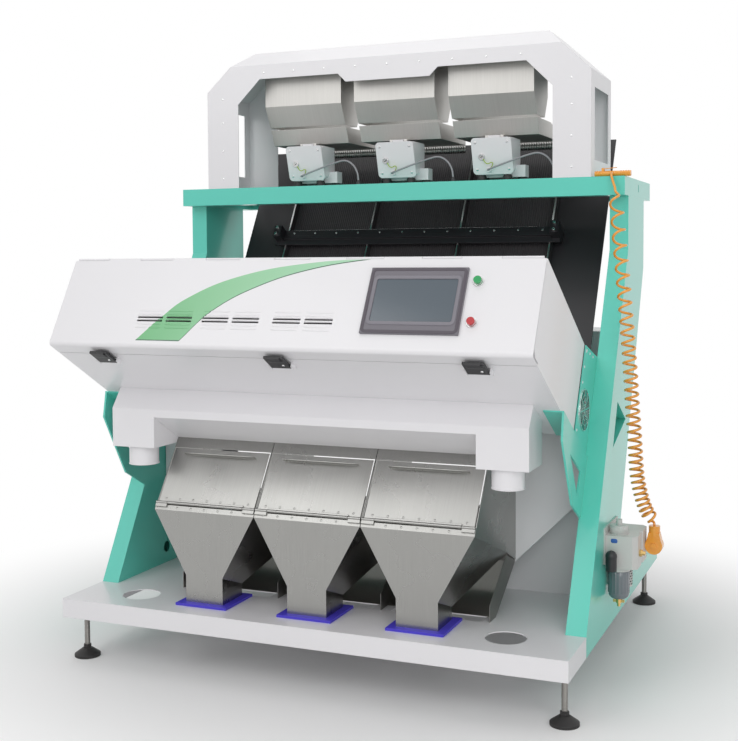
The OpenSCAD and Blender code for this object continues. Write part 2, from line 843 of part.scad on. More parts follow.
module screen_glass() {
    color([0.34, 0.40, 0.44]) place() in_box() translate([bezel_x, 0, bezel_z])
        box([-screen_w / 2, -7, -screen_h / 2], [screen_w / 2, -5, screen_h / 2]);
}

module push_button(z) {
    place() in_box() translate([button_x, 0, z]) rotate([90, 0, 0]) {
        translate([0, 0, 3.5 + button_travel]) cylinder(r = button_r, h = 7);
        translate([0, 0, -box_sheet - 12]) cylinder(r = button_stem_r, h = box_sheet + 16 + button_travel);
    }
}
module start_button() { color([0.1, 0.65, 0.3]) push_button(start_z); }
module stop_button() { color([0.85, 0.12, 0.12]) push_button(stop_z); }

module latch(x) {
    color(black) place() in_box() translate([x, latch_u, latch_w]) difference() {
        union() {
            bar(-latch_half, latch_half, latch_pin_r + 3);
            box([-latch_half, -62, -6], [latch_half, 0, 1.5]);
            box([-latch_half + 8, -66, -10], [latch_half - 8, -54, -4]);
        }
        bar(-latch_half - 1, latch_half + 1, latch_pin_r + running_clearance);
    }
}
module latch_left() { latch(latch_xs[0]); }
module latch_middle() { latch(latch_xs[1]); }
module latch_right() { latch(latch_xs[2]); }

// Chutes

module chute_panel() {
    low = chute_head - chute_length;
    lug_h = 36;
    color(black) place() in_chute() {
        box([-panel_half, chute_sheet, low], [panel_half, 2 * chute_sheet, chute_head]);
        both_sides() for (z = [-42, -720, -840])
            box([panel_half - 1, chute_sheet, z], [inner_w, 3 * chute_sheet, z + lug_h]);
    }
}

module chute_bank() {
    low = chute_head - chute_length;
    w = chute_wall / 2;
    color([0.25, 0.24, 0.25]) place() in_chute() {
        box([-chute_half, 0, low], [chute_half, chute_sheet, chute_head]);
        for (x = [-chute_half + w, -pitch / 2, pitch / 2, chute_half - w])
            box([x - w, -chute_wall_h, low], [x + w, 1, chute_head]);
    }
}

module clamp_bar() {
    gap = 2;
    front = -chute_wall_h - gap;
    color(black) place() in_chute() {
        box([-chute_half - 34, front - 6, bar_z - 23], [chute_half + 34, front, bar_z + 39]);
        box([-chute_half - 34, front - 14, bar_z], [chute_half + 34, front - 5, bar_z + 12]);
        both_sides() box([chute_half + 4, front - 48, bar_z - 8], [chute_half + 34, chute_sheet, bar_z + 38]);
    }
}

// Product hoppers with their inspection doors

module hopper(xc) {
    t = thin_sheet;
    fall = -funnel_fall;
    top_l = funnel_depth / cos(funnel_fall);
    neck_l = outlet_d / cos(funnel_fall);
    module funnel(inset, open) {
        hull() {
            translate([0, hopper_front, fold_height]) rotate([fall, 0, 0])
                box([-hopper_half + inset, inset, -1 + open], [hopper_half - inset, top_l - inset, open]);
            translate([0, hopper_front, throat_height]) rotate([fall, 0, 0])
                box([-outlet_w / 2 + inset, inset, -open], [outlet_w / 2 - inset, neck_l - inset, 1 - open]);
        }
    }
    neck_low = base_top - frame_wall - 6;
    side = [
        door_point(0, 0) - [0, 3], door_point(0, strip_end), [chamber_y, door_point(0, strip_end)[1]],
        [chamber_y, trough_knee + 8], [funnel_back, funnel_back_z - 3]
    ];
    color(steel) place() translate([xc, 0, 0]) {
        difference() {
            union() {
                funnel(0, 0);
                across(-outlet_w / 2, outlet_w / 2) polygon([
                    [hopper_front, neck_low], [hopper_front, throat_height],
                    [outlet_back, throat_height - outlet_d * tan(funnel_fall)], [outlet_back, neck_low]
                ]);
            }
            funnel(t, 1);
            box([-outlet_w / 2 + t, hopper_front + t, neck_low - 1],
                [outlet_w / 2 - t, outlet_back - t, throat_height - t]);
        }
        both_sides() across(hopper_half - t, hopper_half) polygon(side);
        in_door() {
            box([-hopper_half, 0, 0], [hopper_half, t, hinge_s - 6]);
            box([-hopper_half, 0, door_end + 4], [hopper_half, t, strip_end]);
            translate([0, hinge_n, hinge_s]) bar(-hopper_half + 1, hopper_half - 1, hinge_pin_r);
            both_sides() {
                translate([0, hinge_n, hinge_s]) bar(hopper_half - 40, hopper_half - 1, knuckle_r);
                box([hopper_half - 40, hinge_n - 1, hinge_s - 14], [hopper_half - 1, 1, hinge_s]);
            }
        }
    }
}
module hopper_left() { hopper(channels[0]); }
module hopper_middle() { hopper(channels[1]); }
module hopper_right() { hopper(channels[2]); }

module hopper_door(xc) {
    t = thin_sheet;
    w = hopper_half - t - 3;
    color(steel) place() translate([xc, 0, 0]) in_door() difference() {
        union() {
            box([-w, 0, door_start], [w, t, door_end]);
            box([-125, -14, door_end - 22], [125, 1, door_end - 22 + t]);
            translate([0, hinge_n, hinge_s]) bar(-hopper_half + 42, hopper_half - 42, knuckle_r);
            box([-hopper_half + 42, hinge_n - 1, hinge_s], [hopper_half - 42, t, door_start + 4]);
        }
        translate([0, hinge_n, hinge_s]) bar(-hopper_half, hopper_half, hinge_pin_r + running_clearance);
    }
}
module hopper_door_left() { hopper_door(channels[0]); }
module hopper_door_middle() { hopper_door(channels[1]); }
module hopper_door_right() { hopper_door(channels[2]); }

module outlet_seals() {
    band_w = outlet_w / 2 + gasket_band;
    color([0.28, 0.24, 0.85]) place() for (x = channels) translate([x, hopper_front, base_top])
        linear_extrude(height = gasket_h) difference() {
            translate([-band_w, -gasket_band]) square([2 * band_w, outlet_d + 2 * gasket_band]);
            translate([-outlet_w / 2, 0]) square([outlet_w, outlet_d]);
        }
}

module reject_trough() {
    t = thin_sheet;
    low = [trough_slot[1] + 1, base_top];
    knee = [chamber_y, trough_knee];
    color([0.45, 0.42, 0.40]) place() {
        across(-wing_x, wing_x) intersection() {
            fold([low + [-2, -2], knee, [wall_y + 6, trough_knee + 140]], t);
            translate([0, base_top]) square([wall_y, wall_top]);
        }
        for (x = [1 - wing_x, -pitch / 2, pitch / 2, wing_x - 1]) across(x - 1, x + 1) polygon([
            [trough_slot[0], base_top], low, knee, knee + [-4, 8],
            [funnel_back + 6, funnel_back_z - 12], [trough_slot[0], base_top + 50]
        ]);
    }
}

// Dust duct under the optics box

module dust_duct() {
    s = box_sheet;
    roof = [duct_front + duct_roof, underside(duct_front + duct_roof)];
    low_y = block_back;
    floor_z = block_bottom - 80;
    spout_at = [duct_half - block_width / 2, duct_front + 60, block_bottom - spout_length];
    inner_x = duct_half - block_width;
    block = [
        [duct_front, block_bottom], [duct_front, duct_top], roof,
        [low_y, underside(low_y)], [low_y, block_bottom]
    ];
    color(white) place() difference() {
        union() {
            across(-duct_half, duct_half) intersection() {
                polygon([
                    [duct_front, floor_z], [duct_front, duct_top], roof, [low_y, underside(low_y)],
                    [low_y, floor_z]
                ]);
                union() {
                    band([duct_front, duct_top - duct_strip], [duct_front, duct_top], s);
                    band([duct_front, duct_top], roof, s);
                }
            }
            across(-inner_x - 1, inner_x + 1) intersection() {
                polygon([
                    [duct_front, floor_z], [duct_front, duct_top], door_point(0, 490), door_point(0, 125)
                ]);
                band([duct_front, duct_top - duct_strip], [low_y + 40, duct_top - duct_strip - 105], s / 2);
            }
            both_sides() {
                across(duct_half - s, duct_half) polygon(block);
                across(inner_x, inner_x + s) polygon(block);
                box([inner_x, duct_front, block_bottom], [duct_half, duct_front + s, duct_top - 1]);
                box([inner_x, duct_front, block_bottom], [duct_half, low_y, block_bottom + s]);
                translate(spout_at)
                    cylinder(r = spout_r, h = spout_length + 1, $fn = 64);
            }
        }
        both_sides() translate(spout_at - [0, 0, 1])
            cylinder(r = spout_r - s, h = spout_length + s + 2, $fn = 64);
    }
}

// Top cover and feeders

module top_cover() {
    t = cover_sheet;
    front = beam_front;
    shoulder = beam_top + shoulder_height;
    crown_z = cover_top - bevel_fall;
    module shell(w, y, top, sh, cr, bz, by, low) {
        intersection() {
            facing(y, front + cover_back - y) polygon([
                [-w, low], [-w, sh], [-cr, top], [cr, top], [w, sh], [w, low]
            ]);
            across(-w, w) polygon([
                [y, low], [y, bz], [by, top], [front + cover_back - by, top],
                [front + cover_back - y, bz], [front + cover_back - y, low]
            ]);
        }
    }
    color(white) place() difference() {
        shell(cover_half, front, cover_top, shoulder, crown_half, crown_z, front + bevel_depth, beam_top);
        shell(cover_half - t, front + t, cover_top - t, shoulder - 0.42 * t, crown_half - 0.41 * t,
            crown_z - 0.53 * t, front + bevel_depth + 0.3 * t, beam_top - 1);
        facing(front - 1, cover_back + 1) polygon([
            [-opening_half, beam_top - 1], [-opening_half, beam_top + 297],
            [88 - opening_half, beam_top + 383], [-183, beam_top + 383], [-153, beam_top + 354],
            [153, beam_top + 354], [183, beam_top + 383],
            [opening_half - 88, beam_top + 383], [opening_half, beam_top + 297], [opening_half, beam_top - 1]
        ]);
        box([-cover_half - 1, front + 56, beam_top + 58], [cover_half + 1, cover_back - 40, beam_top + 292]);
        for (x = channels) box([x - feed_width / 2 + thin_sheet, inlet_front + thin_sheet, cover_top - t - 1],
            [x + feed_width / 2 - thin_sheet, inlet_back - thin_sheet, cover_top + 1]);
    }
}

module feed_hopper(xc) {
    t = thin_sheet;
    w = feed_width / 2;
    knee = feed_low + feed_foot;
    neck = feed_top - bevel_fall;
    shoulder = neck - 30;
    rim_w = 6;
    front = [
        [inlet_front, feed_top], [inlet_front, neck], [feed_front, shoulder], [feed_front, knee],
        [feed_front + 39, feed_low]
    ];
    back = [
        [feed_back - 40, feed_low], [feed_back, knee], [feed_back, shoulder], [inlet_back, neck],
        [inlet_back, feed_top]
    ];
    outline = concat(front, back);
    color(steel) place() translate([xc, 0, 0]) {
        across(-w, w) intersection() {
            polygon(outline);
            union() {
                for (k = [0 : 3]) band(front[k], front[k + 1], t);
                for (k = [0 : 3]) band(back[k], back[k + 1], t);
            }
        }
        both_sides() across(w - t, w) polygon(outline);
        difference() {
            box([-w - rim_w, inlet_front - rim_w, feed_top - t], [w + rim_w, inlet_back + rim_w, feed_top]);
            box([-w + t, inlet_front + t, feed_top - t - 1], [w - t, inlet_back - t, feed_top + 1]);
        }
    }
}
module feed_hopper_left() { feed_hopper(channels[0]); }
module feed_hopper_middle() { feed_hopper(channels[1]); }
module feed_hopper_right() { feed_hopper(channels[2]); }

module feeder_tray(xc) {
    t = thin_sheet;
    w = feed_width / 2;
    tray_end = tray_front + tray_length;
    rim_z = tray_z + tray_wall_h;
    color(steel) place() translate([xc, 0, 0]) {
        box([-w, tray_front, tray_z], [w, tray_end, tray_z + t]);
        across(-w, w) intersection() {
            polygon([
                [tray_front - 23, rim_z], [tray_front, tray_z], [tray_front + 40, tray_z],
                [tray_front + 40, rim_z]
            ]);
            band([tray_front - 23, rim_z], [tray_front, tray_z], t);
        }
        both_sides() {
            across(w - t, w) polygon([
                [tray_front - 23, rim_z], [tray_front, tray_z], [tray_end, tray_z],
                [tray_end, tray_z + 30], [tray_end - 120, rim_z]
            ]);
            box([guide_half + guide_clearance, drive_y + 8, tray_z - 10],
                [guide_half + 12, drive_y + 68, tray_z + 1]);
        }
    }
}
module feeder_tray_left() { feeder_tray(channels[0]); }
module feeder_tray_middle() { feeder_tray(channels[1]); }
module feeder_tray_right() { feeder_tray(channels[2]); }

module feeder_drive(xc) {
    low = beam_top + drive_low;
    top = low + drive_h;
    lean = drive_h * tan(drive_tilt);
    face_h = drive_h / cos(drive_tilt);
    color(white) place() translate([xc, 0, 0]) {
        intersection() {
            across(-drive_half, drive_half) polygon([
                [drive_y, low], [drive_y - lean, top], [drive_y + 83, top], [drive_y + 83, low]
            ]);
            translate([0, drive_y, low]) rotate([drive_tilt, 0, 0]) translate([0, 140, face_h / 2])
                rotate([90, 0, 0]) linear_extrude(height = 180) rounded(2 * drive_half, face_h, drive_round);
        }
        box([-guide_half, drive_y + 3, top - 1], [guide_half, drive_y + 73, tray_z - guide_clearance]);
        box([8 - drive_half, drive_y + 38, low - 8], [drive_half + 30, drive_y + 82, low + 32]);
        for (x = [-45, 45]) translate([x, drive_y + 16, beam_top]) cylinder(r = 11, h = drive_low + 8);
        for (x = [-50, drive_half + 14]) translate([x, drive_y + 62, beam_top])
            cylinder(r = 11, h = drive_low - 7);
        translate([0, drive_y, low]) rotate([drive_tilt, 0, 0]) translate([-36, 2, 62])
            rotate([90, 0, 0]) cylinder(r = 10, h = 7);
        translate([lead_x, drive_y + 2, low + lead_z]) rotate([90, 0, 0]) cylinder(r = 8, h = lead_out + 2);
    }
}
module feeder_drive_left() { feeder_drive(channels[0]); }
module feeder_drive_middle() { feeder_drive(channels[1]); }
module feeder_drive_right() { feeder_drive(channels[2]); }

// Leads from the drives down to glands on the top frame
module drive_leads() {
    low = beam_top + drive_low;
    end = [222, drive_y - 52, beam_top];
    route = [
        [lead_x, drive_y - lead_out, low + lead_z], [lead_x, drive_y - lead_out - 10, low + lead_z],
        [5, drive_y - 31, low + 20], [60, drive_y - 31, low + 38], [125, drive_y - 32, low + 58],
        [166, drive_y - 38, low + 63], [198, drive_y - 46, low + 47], [217, drive_y - 51, low + 18],
        [222, drive_y - 52, beam_top + 8]
    ];
    color(grey) place() for (x = channels) translate([x, 0, 0]) {
        sweep(route, lead_r, 10, [0, -1, 0], [0, 1, 1]);
        translate(end) cylinder(r = 9, h = 14);
    }
}

// Air unit on the right side frame

module air_blocks() {
    c = 14;
    plate = 5;
    rear_bowl_r = bowl_r - 7;
    rear_mid = air_y + air_block * 1.5;
    color([0.85, 0.85, 0.84]) place() {
        box([half_w, air_y - 8, air_z + 11], [half_w + plate, air_y + 2 * air_block + 4, air_z + air_h + 21]);
        for (k = [0, 1]) translate([half_w, air_y + k * air_block, air_z]) linear_extrude(height = air_h)
            polygon([[plate - 1, 0], [air_reach - c, 0], [air_reach, c], [air_reach, air_block - c],
                [air_reach - c, air_block], [plate - 1, air_block]]);
        translate([air_mid, bowl_y, air_top - 1]) cylinder(r = 26, h = 26);
        translate([air_mid, bowl_y, air_top + 24]) cylinder(r = 9, h = 18);
        translate([air_mid, rear_mid, air_z - 83]) cylinder(r = rear_bowl_r, h = 84);
    }
}

module filter_bowl() {
    r = bowl_r;
    f = 18;
    color(grey) place() translate([air_mid, bowl_y, air_z - bowl_h]) difference() {
        rotate_extrude() {
            square([r - f, bowl_h]);
            translate([0, f]) square([r, bowl_h - f]);
            translate([r - f, f]) intersection() {
                circle(r = f);
                translate([0, -f]) square([f, f]);
            }
        }
        translate([0, 0, -1]) cylinder(r = drain_r + running_clearance, h = 19);
    }
}

module drain_cock() {
    low = air_z - bowl_h;
    color([0.75, 0.75, 0.77]) place() translate([air_mid, bowl_y, low]) {
        translate([0, 0, -12]) cylinder(r = drain_r, h = 26);
        translate([0, 0, -14]) cylinder(r = drain_r + 3, h = 13);
        box([-17, -2.5, -12], [17, 2.5, -4]);
        translate([0, 0, -24]) cylinder(r = drain_r, h = 12);
    }
}

module inlet_elbow() {
    x = half_w + 26;
    y = air_y - 23;
    z = air_z + 42;
    color(black) place() difference() {
        union() {
            translate([x, y, z]) sphere(r = 17);
            translate([x, y, z - 44]) cylinder(r = 16, h = 44);
            translate([x, air_y, z]) rotate([90, 0, 0]) cylinder(r = 10, h = 12);
        }
        translate([x, y, z - 45]) cylinder(r = inlet_r, h = 26);
    }
}

module hose_swivel() {
    swivel_half = 17;
    swivel_h = 40;
    low_w = swivel_r - 1;
    top_w = neck_r - 1;
    color(orange) place() {
        translate([0, swivel_y, swivel_z]) bar(air_x, swivel_x, 12);
        translate([swivel_x, swivel_y, swivel_z]) {
            facing(-swivel_half, swivel_half) circle(r = swivel_r);
            facing(1 - swivel_half, swivel_half - 1)
                polygon([[-low_w, 0], [low_w, 0], [top_w, swivel_h], [-top_w, swivel_h]]);
            facing(-swivel_half - 4, -swivel_half + 1) circle(r = 9);
            translate([0, 0, swivel_h - 12]) cylinder(r = neck_r, h = neck_top - swivel_z - swivel_h + 12);
        }
    }
}

module spiral_hose() { color(orange) place() sweep(coil_route, coil_r, 12, [0, 0, 1]); }
module hose_tail() {
    start = tail_route[0] - coil_route[len(coil_route) - 2];
    color(orange) place() sweep(tail_route, hose_r, 10, start);
}

trigger_x = gun_x - 31;
trigger_z = gun_z + gun_r + 5;
trigger_angle = 5;
module air_gun() {
    color(orange) place() {
        translate([0, gun_y, gun_z]) bar(gun_x - gun_length / 2, gun_x + gun_length / 2, gun_r);
        translate([gun_x, gun_y, gun_z]) rotate([90, 0, 0]) cylinder(r = hose_r + 2, h = gun_r + 3);
        for (k = [-1, 1]) translate([trigger_x, gun_y + k * 6, gun_z])
            box([-4, -1.5, 0], [4, 1.5, gun_r + 9]);
        translate([trigger_x, gun_y + 7, trigger_z]) rotate([90, 0, 0]) cylinder(r = 2, h = 14);
    }
}

module gun_trigger() {
    color([0.95, 0.5, 0.1]) place() translate([trigger_x, gun_y, trigger_z]) difference() {
        union() {
            translate([0, 4, 0]) rotate([90, 0, 0]) cylinder(r = 3.6, h = 8);
            rotate([0, -trigger_angle, 0]) box([2.8, -3.5, 0.4], [44, 3.5, 2.2]);
        }
        translate([0, 5, 0]) rotate([90, 0, 0]) cylinder(r = 2 + running_clearance, h = 10);
    }
}

base_tray();
base_deck();
left_side_frame();
right_side_frame();
top_frame();
left_side_plate();
right_side_plate();
fan_guards();
left_fan();
right_fan();
rear_wall();
rear_box();
ejector_bar();
front_box();
front_glass();
camera_sets();
front_door();
screen_bezel();
screen_glass();
start_button();
stop_button();
latch_left();
latch_middle();
latch_right();
chute_panel();
chute_bank();
clamp_bar();
hopper_left();
hopper_middle();
hopper_right();
hopper_door_left();
hopper_door_middle();
hopper_door_right();
outlet_seals();
reject_trough();
dust_duct();
top_cover();
feed_hopper_left();
feed_hopper_middle();
feed_hopper_right();
feeder_tray_left();
feeder_tray_middle();
feeder_tray_right();
feeder_drive_left();
feeder_drive_middle();
feeder_drive_right();
drive_leads();
foot_front_left();
foot_front_right();
foot_rear_left();
foot_rear_right();
air_blocks();
filter_bowl();
drain_cock();
inlet_elbow();
hose_swivel();
spiral_hose();
hose_tail();
air_gun();
gun_trigger();
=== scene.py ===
# %% Load the machine's solids
import json
import math

import bpy
import numpy as np
from mathutils import Matrix, Vector


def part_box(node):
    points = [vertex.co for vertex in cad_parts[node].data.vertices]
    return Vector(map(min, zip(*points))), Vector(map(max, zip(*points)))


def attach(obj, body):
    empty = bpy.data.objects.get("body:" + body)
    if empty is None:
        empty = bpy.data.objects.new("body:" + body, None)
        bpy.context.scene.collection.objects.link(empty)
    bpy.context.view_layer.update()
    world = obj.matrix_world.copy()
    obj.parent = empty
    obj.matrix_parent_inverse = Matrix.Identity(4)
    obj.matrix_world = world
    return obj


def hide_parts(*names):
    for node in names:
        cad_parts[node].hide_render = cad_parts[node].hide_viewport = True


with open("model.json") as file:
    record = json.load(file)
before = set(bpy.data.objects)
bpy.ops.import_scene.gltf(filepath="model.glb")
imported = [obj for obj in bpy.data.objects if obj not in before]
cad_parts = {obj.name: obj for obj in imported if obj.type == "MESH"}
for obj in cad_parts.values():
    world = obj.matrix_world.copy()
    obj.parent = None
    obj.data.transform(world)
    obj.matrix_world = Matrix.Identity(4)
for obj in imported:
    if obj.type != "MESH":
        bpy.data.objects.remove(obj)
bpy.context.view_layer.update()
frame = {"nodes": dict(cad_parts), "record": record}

# %% [markdown]
# # An optical colour sorter
#
# The machine stands on a white base. Its sizes are easiest to think of in millimetres, measured from the
# middle of the base's front edge, so one helper turns those millimetres into Blender's metres. Another one
# places points on the tilted optics box and on the steep chutes, which lean by the same 30 degrees.

# %% Places on the machine
base_low, base_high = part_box("base_tray")
ORIGIN = np.array([(base_low[0] + base_high[0]) / 2, base_low[1], 0.0])
TILT = math.radians(30)
NOSE = np.array([0.0, -128.0, 1018.0])
BEAM_TOP = 1526.0
BEAM_FRONT = 754.0
CHUTE_HEAD = np.array([0.0, 1140.0, BEAM_TOP])
PITCH = 348.0
CHANNELS = {"left": -PITCH, "middle": 0.0, "right": PITCH}
MIDDLE = (0, 700, 0)
ACROSS, BACK, HIGH = np.eye(3)
INTO = np.array([0.0, math.cos(TILT), -math.sin(TILT)])
UP = np.array([0.0, math.sin(TILT), math.cos(TILT)])


def at(points):
    """Row-frame metres of points given in machine millimetres: each point over 1000, moved by ORIGIN."""
    return ORIGIN + np.asarray(points, float) / 1000


def tilted(points, start):
    """Machine millimetres of (across, into, up) points in a frame that starts at start and leans by TILT.

    Into runs backwards and down, up runs backwards and up, so they stay square to each other."""
    p = np.asarray(points, float)
    return start + p[..., :1] * ACROSS + p[..., 1:2] * INTO + p[..., 2:] * UP


print("origin", ORIGIN.round(4))

# %% [markdown]
# ## The camera
#
# The picture was taken from the right of the machine, a little above its middle, with a short telephoto lens.
# Its direction is kept as a turn to the left, a look downwards and a tiny roll. The shift moves the frame down
# without tilting the camera, so that upright edges stay nearly upright.

# %% Camera
CAMERA_PLACE = np.array([1521.45, -3064.73, 1263.82])
TURN, LOOK_DOWN, ROLL = math.radians(22.63), math.radians(3.0), math.radians(-0.33)

flat = math.cos(LOOK_DOWN)
forward = np.array([-math.sin(TURN) * flat, math.cos(TURN) * flat, -math.sin(LOOK_DOWN)])
level = np.array([math.cos(TURN), math.sin(TURN), 0.0])
upright = np.cross(level, forward)
sideways = math.cos(ROLL) * level + math.sin(ROLL) * upright
upward = -math.sin(ROLL) * level + math.cos(ROLL) * upright

camera_data = bpy.data.cameras.new("camera")
camera = bpy.data.objects.new("camera", camera_data)
bpy.context.collection.objects.link(camera)
camera.matrix_world = Matrix.Translation(Vector(at(CAMERA_PLACE))) @ Matrix(
    np.column_stack([sideways, upward, -forward]).tolist()).to_4x4()
camera_data.lens = 58.16
camera_data.sensor_width = 36
camera_data.shift_y = -0.0642
camera_data.clip_end = 60
bpy.context.scene.camera = camera
print("camera at", [round(c, 3) for c in camera.location])

# %% [markdown]
# ## Surfaces from arrays
#
# Every new piece is a grid of points. A grid has rows and columns; each small square of four neighbours becomes
# one face. If the last column joins the first the grid is a tube, and a flat cap can close its two ends.

# %% Grid helper
slot_of = {}


def grids_piece(name, grids, body, slot, round_trip=True, caps=True, smooth=35):
    """One mesh piece from an array of grids x rows x columns x 3 points in machine millimetres.

    Face k of row i joins points (i, k), (i, k+1), (i+1, k+1) and (i+1, k), with k+1 wrapping on a round trip.
    The first and last rings get flat caps. Edges sharper than smooth degrees stay sharp."""
    grids = np.asarray(grids, float)
    count, rows, columns = grids.shape[:3]
    i, k = np.meshgrid(np.arange(rows - 1), np.arange(columns if round_trip else columns - 1), indexing="ij")
    nxt = (k + 1) % columns
    quads = np.stack([i * columns + k, i * columns + nxt, (i + 1) * columns + nxt, (i + 1) * columns + k], -1)
    starts = np.arange(count) * rows * columns
    faces = (quads.reshape(1, -1, 4) + starts[:, None, None]).reshape(-1, 4).tolist()
    if round_trip and caps:
        ring = np.arange(columns)
        faces += (starts[:, None] + ring[::-1]).tolist()
        faces += (starts[:, None] + (rows - 1) * columns + ring).tolist()
    mesh = bpy.data.meshes.new(name)
    mesh.from_pydata(at(grids).reshape(-1, 3).tolist(), [], faces)
    mesh.validate()
    mesh.update()
    mesh.polygons.foreach_set("use_smooth", np.ones(len(mesh.polygons), bool))
    mesh.set_sharp_from_angle(angle=math.radians(smooth))
    piece = bpy.data.objects.new(name, mesh)
    bpy.context.collection.objects.link(piece)
    if body:
        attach(piece, body)
        slot_of[piece] = slot
    return piece


print("grid helper ready")

# %% [markdown]
# ## The spiral hose
#
# The orange hose is a long polyurethane tube wound into a helix. It stands on the swivel of the air unit, hangs
# from the corner of the top frame and ends in the air gun. Its middle line is a smooth curve through a few
# listed points. The helix turns around that line; its turns lie close at the bottom, where they carry
# nothing, and open towards the top, where they carry the rest.

# %% Hose route
HOSE_R = 4.0
COIL_R = 23.0 - HOSE_R
OPENS_OVER, CLOSES_OVER = 35, 50
STEPS_A_TURN = 20
coil_route = np.array([
    [931, 607, 450], [927, 606, 462], [917, 600, 480], [903, 594, 510], [890, 591, 555], [880, 590, 610],
    [875, 590, 680], [871, 590, 745], [866, 590, 805], [860, 590, 898], [853, 590, 990], [847, 592, 1060],
    [838, 602, 1140], [827, 622, 1222], [813, 652, 1303], [798, 690, 1390], [783, 722, 1487]], float)
tail_route = np.array([
    [783, 722, 1487], [777, 728, 1502], [771, 735, 1518], [767, 743, 1530], [766, 757, 1535],
    [766, 763, 1535]], float)


def smooth_line(points, per_span):
    """Points on a Catmull-Rom curve: each span is the cubic through its two ends, whose slopes are half the
    difference of the neighbouring points."""
    p = np.vstack([2 * points[0] - points[1], points, 2 * points[-1] - points[-2]])
    t = np.linspace(0, 1, per_span, endpoint=False)[None, :, None]
    a, b, c, d = p[:-3, None], p[1:-2, None], p[2:-1, None], p[3:, None]
    curve = 0.5 * (2 * b + (c - a) * t + (2 * a - 5 * b + 4 * c - d) * t ** 2 + (3 * b - a - 3 * c + d) * t ** 3)
    return np.vstack([curve.reshape(-1, 3), points[-1]])


def along(line):
    """Distance of each point from the line's start, measured along it."""
    return np.concatenate([[0], np.cumsum(np.linalg.norm(np.diff(line, axis=0), axis=1))])


def frames(line, hint=(0.0, 1.0, 0.0)):
    """Two unit vectors square to the line at each point: the first is also square to hint, the second to both."""
    run = np.gradient(line, axis=0)
    run /= np.linalg.norm(run, axis=1)[:, None]
    side = np.cross(hint, run)
    side /= np.linalg.norm(side, axis=1)[:, None]
    return side, np.cross(run, side)


axis_line = smooth_line(coil_route, 50)
reach = along(axis_line)
height_share = [0.0, 0.02, 0.045, 0.25, 0.5, 0.75, 1.0]
turn_pitch = np.interp(reach / reach[-1], height_share, [45.0, 30.0, 15.0, 24.0, 29.0, 48.0, 66.0])
turns = np.concatenate([[0], np.cumsum(np.diff(reach) / (0.5 * (turn_pitch[1:] + turn_pitch[:-1])))])
angle_fine = np.linspace(0, turns[-1] * 2 * math.pi, int(turns[-1] * STEPS_A_TURN))
reach_fine = np.interp(angle_fine, turns * 2 * math.pi, reach)
middle = np.stack([np.interp(reach_fine, reach, axis_line[:, a]) for a in range(3)], 1)
side, other = frames(middle)
open_up = np.clip(reach_fine / OPENS_OVER, 0, 1) * np.clip((reach[-1] - reach_fine) / CLOSES_OVER, 0, 1)
open_up = open_up * open_up * (3 - 2 * open_up)
coil = middle + (COIL_R * open_up)[:, None] * (
    np.cos(angle_fine)[:, None] * side + np.sin(angle_fine)[:, None] * other)
tail = smooth_line(tail_route, 5)[1:]
hose_points = at(np.vstack([coil, tail]))

# %% Hose piece
hose_curve = bpy.data.curves.new("air_hose", "CURVE")
hose_curve.dimensions = "3D"
hose_curve.bevel_depth = 1.0
hose_curve.bevel_resolution = 3
hose_curve.use_fill_caps = True
spline = hose_curve.splines.new("POLY")
spline.points.add(len(hose_points) - 1)
spline.points.foreach_set("co", np.column_stack([hose_points, np.ones(len(hose_points))]).ravel())
spline.points.foreach_set("radius", np.full(len(hose_points), HOSE_R / 1000))
air_hose = bpy.data.objects.new("air_hose", hose_curve)
bpy.context.collection.objects.link(air_hose)
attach(air_hose, "machine")
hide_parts("spiral_hose", "hose_tail")
slot_of[air_hose] = "orange_plastic"
print("hose points:", len(hose_points))

# %% [markdown]
# ## Shapes that come back again and again
#
# Screws, knobs, glands and threads are all rings around an axis, as on a lathe. Louvre ribs and door grips are
# long rounded bars. Leads are rings carried along a curve. With these functions a detail is a line of numbers.

# %% Lathe, bar and tube
def round_turn(columns):
    """Angles once around in equal steps; one more step would lead back to the first."""
    return np.linspace(0, 2 * math.pi, columns, endpoint=False)


def ring_of(axis, columns):
    """Unit vectors around an axis, counted anticlockwise: cos times one side vector plus sin times the other."""
    axis = np.asarray(axis, float)
    helper = HIGH if abs(axis[2]) < 0.9 else ACROSS
    side = np.cross(helper, axis)
    side /= np.linalg.norm(side)
    turn = round_turn(columns)[:, None]
    return np.cos(turn) * side + np.sin(turn) * np.cross(axis, side)


def lathe(profile, axis=HIGH, columns=20):
    """Rings around an axis through zero: each profile row gives a distance along the axis and a radius."""
    profile = np.asarray(profile, float)[:, None, :]
    return profile[..., :1] * np.asarray(axis) + profile[..., 1:] * ring_of(axis, columns)


def bar_of(half_length, run, first, second, rows=11, columns=12):
    """A rounded bar along run: an ellipse of half axes first and second, drawn in towards both ends.

    The ellipse shrinks with the square root of one minus the sixth power of the place along the bar."""
    place = np.sin(np.linspace(-1, 1, rows) * math.pi / 2)
    size = np.sqrt(np.clip(1 - place ** 6, 0.002, 1))[:, None, None]
    turn = round_turn(columns)[None, :, None]
    return (half_length * place)[:, None, None] * np.asarray(run) + size * (
        np.cos(turn) * np.asarray(first) + np.sin(turn) * np.asarray(second))


def tube_along(line, radius, columns=12, hint=(0.0, 0.7, 0.7)):
    """A round tube: a circle of the given radius square to the line at each of its points."""
    side, other = frames(line, hint)
    turn = round_turn(columns)[None, :, None]
    return line[:, None] + radius * (np.cos(turn) * side[:, None] + np.sin(turn) * other[:, None])


def copies(grid, places):
    """The same grid at each of the places: an array of places x rows x columns x 3."""
    return grid[None] + np.asarray(places, float).reshape(-1, 1, 1, 3)


def fixed(name, grid, places, slot, **settings):
    """Copies of one grid that stay with the machine, as one piece."""
    return grids_piece(name, copies(grid, places), "machine", slot, **settings)


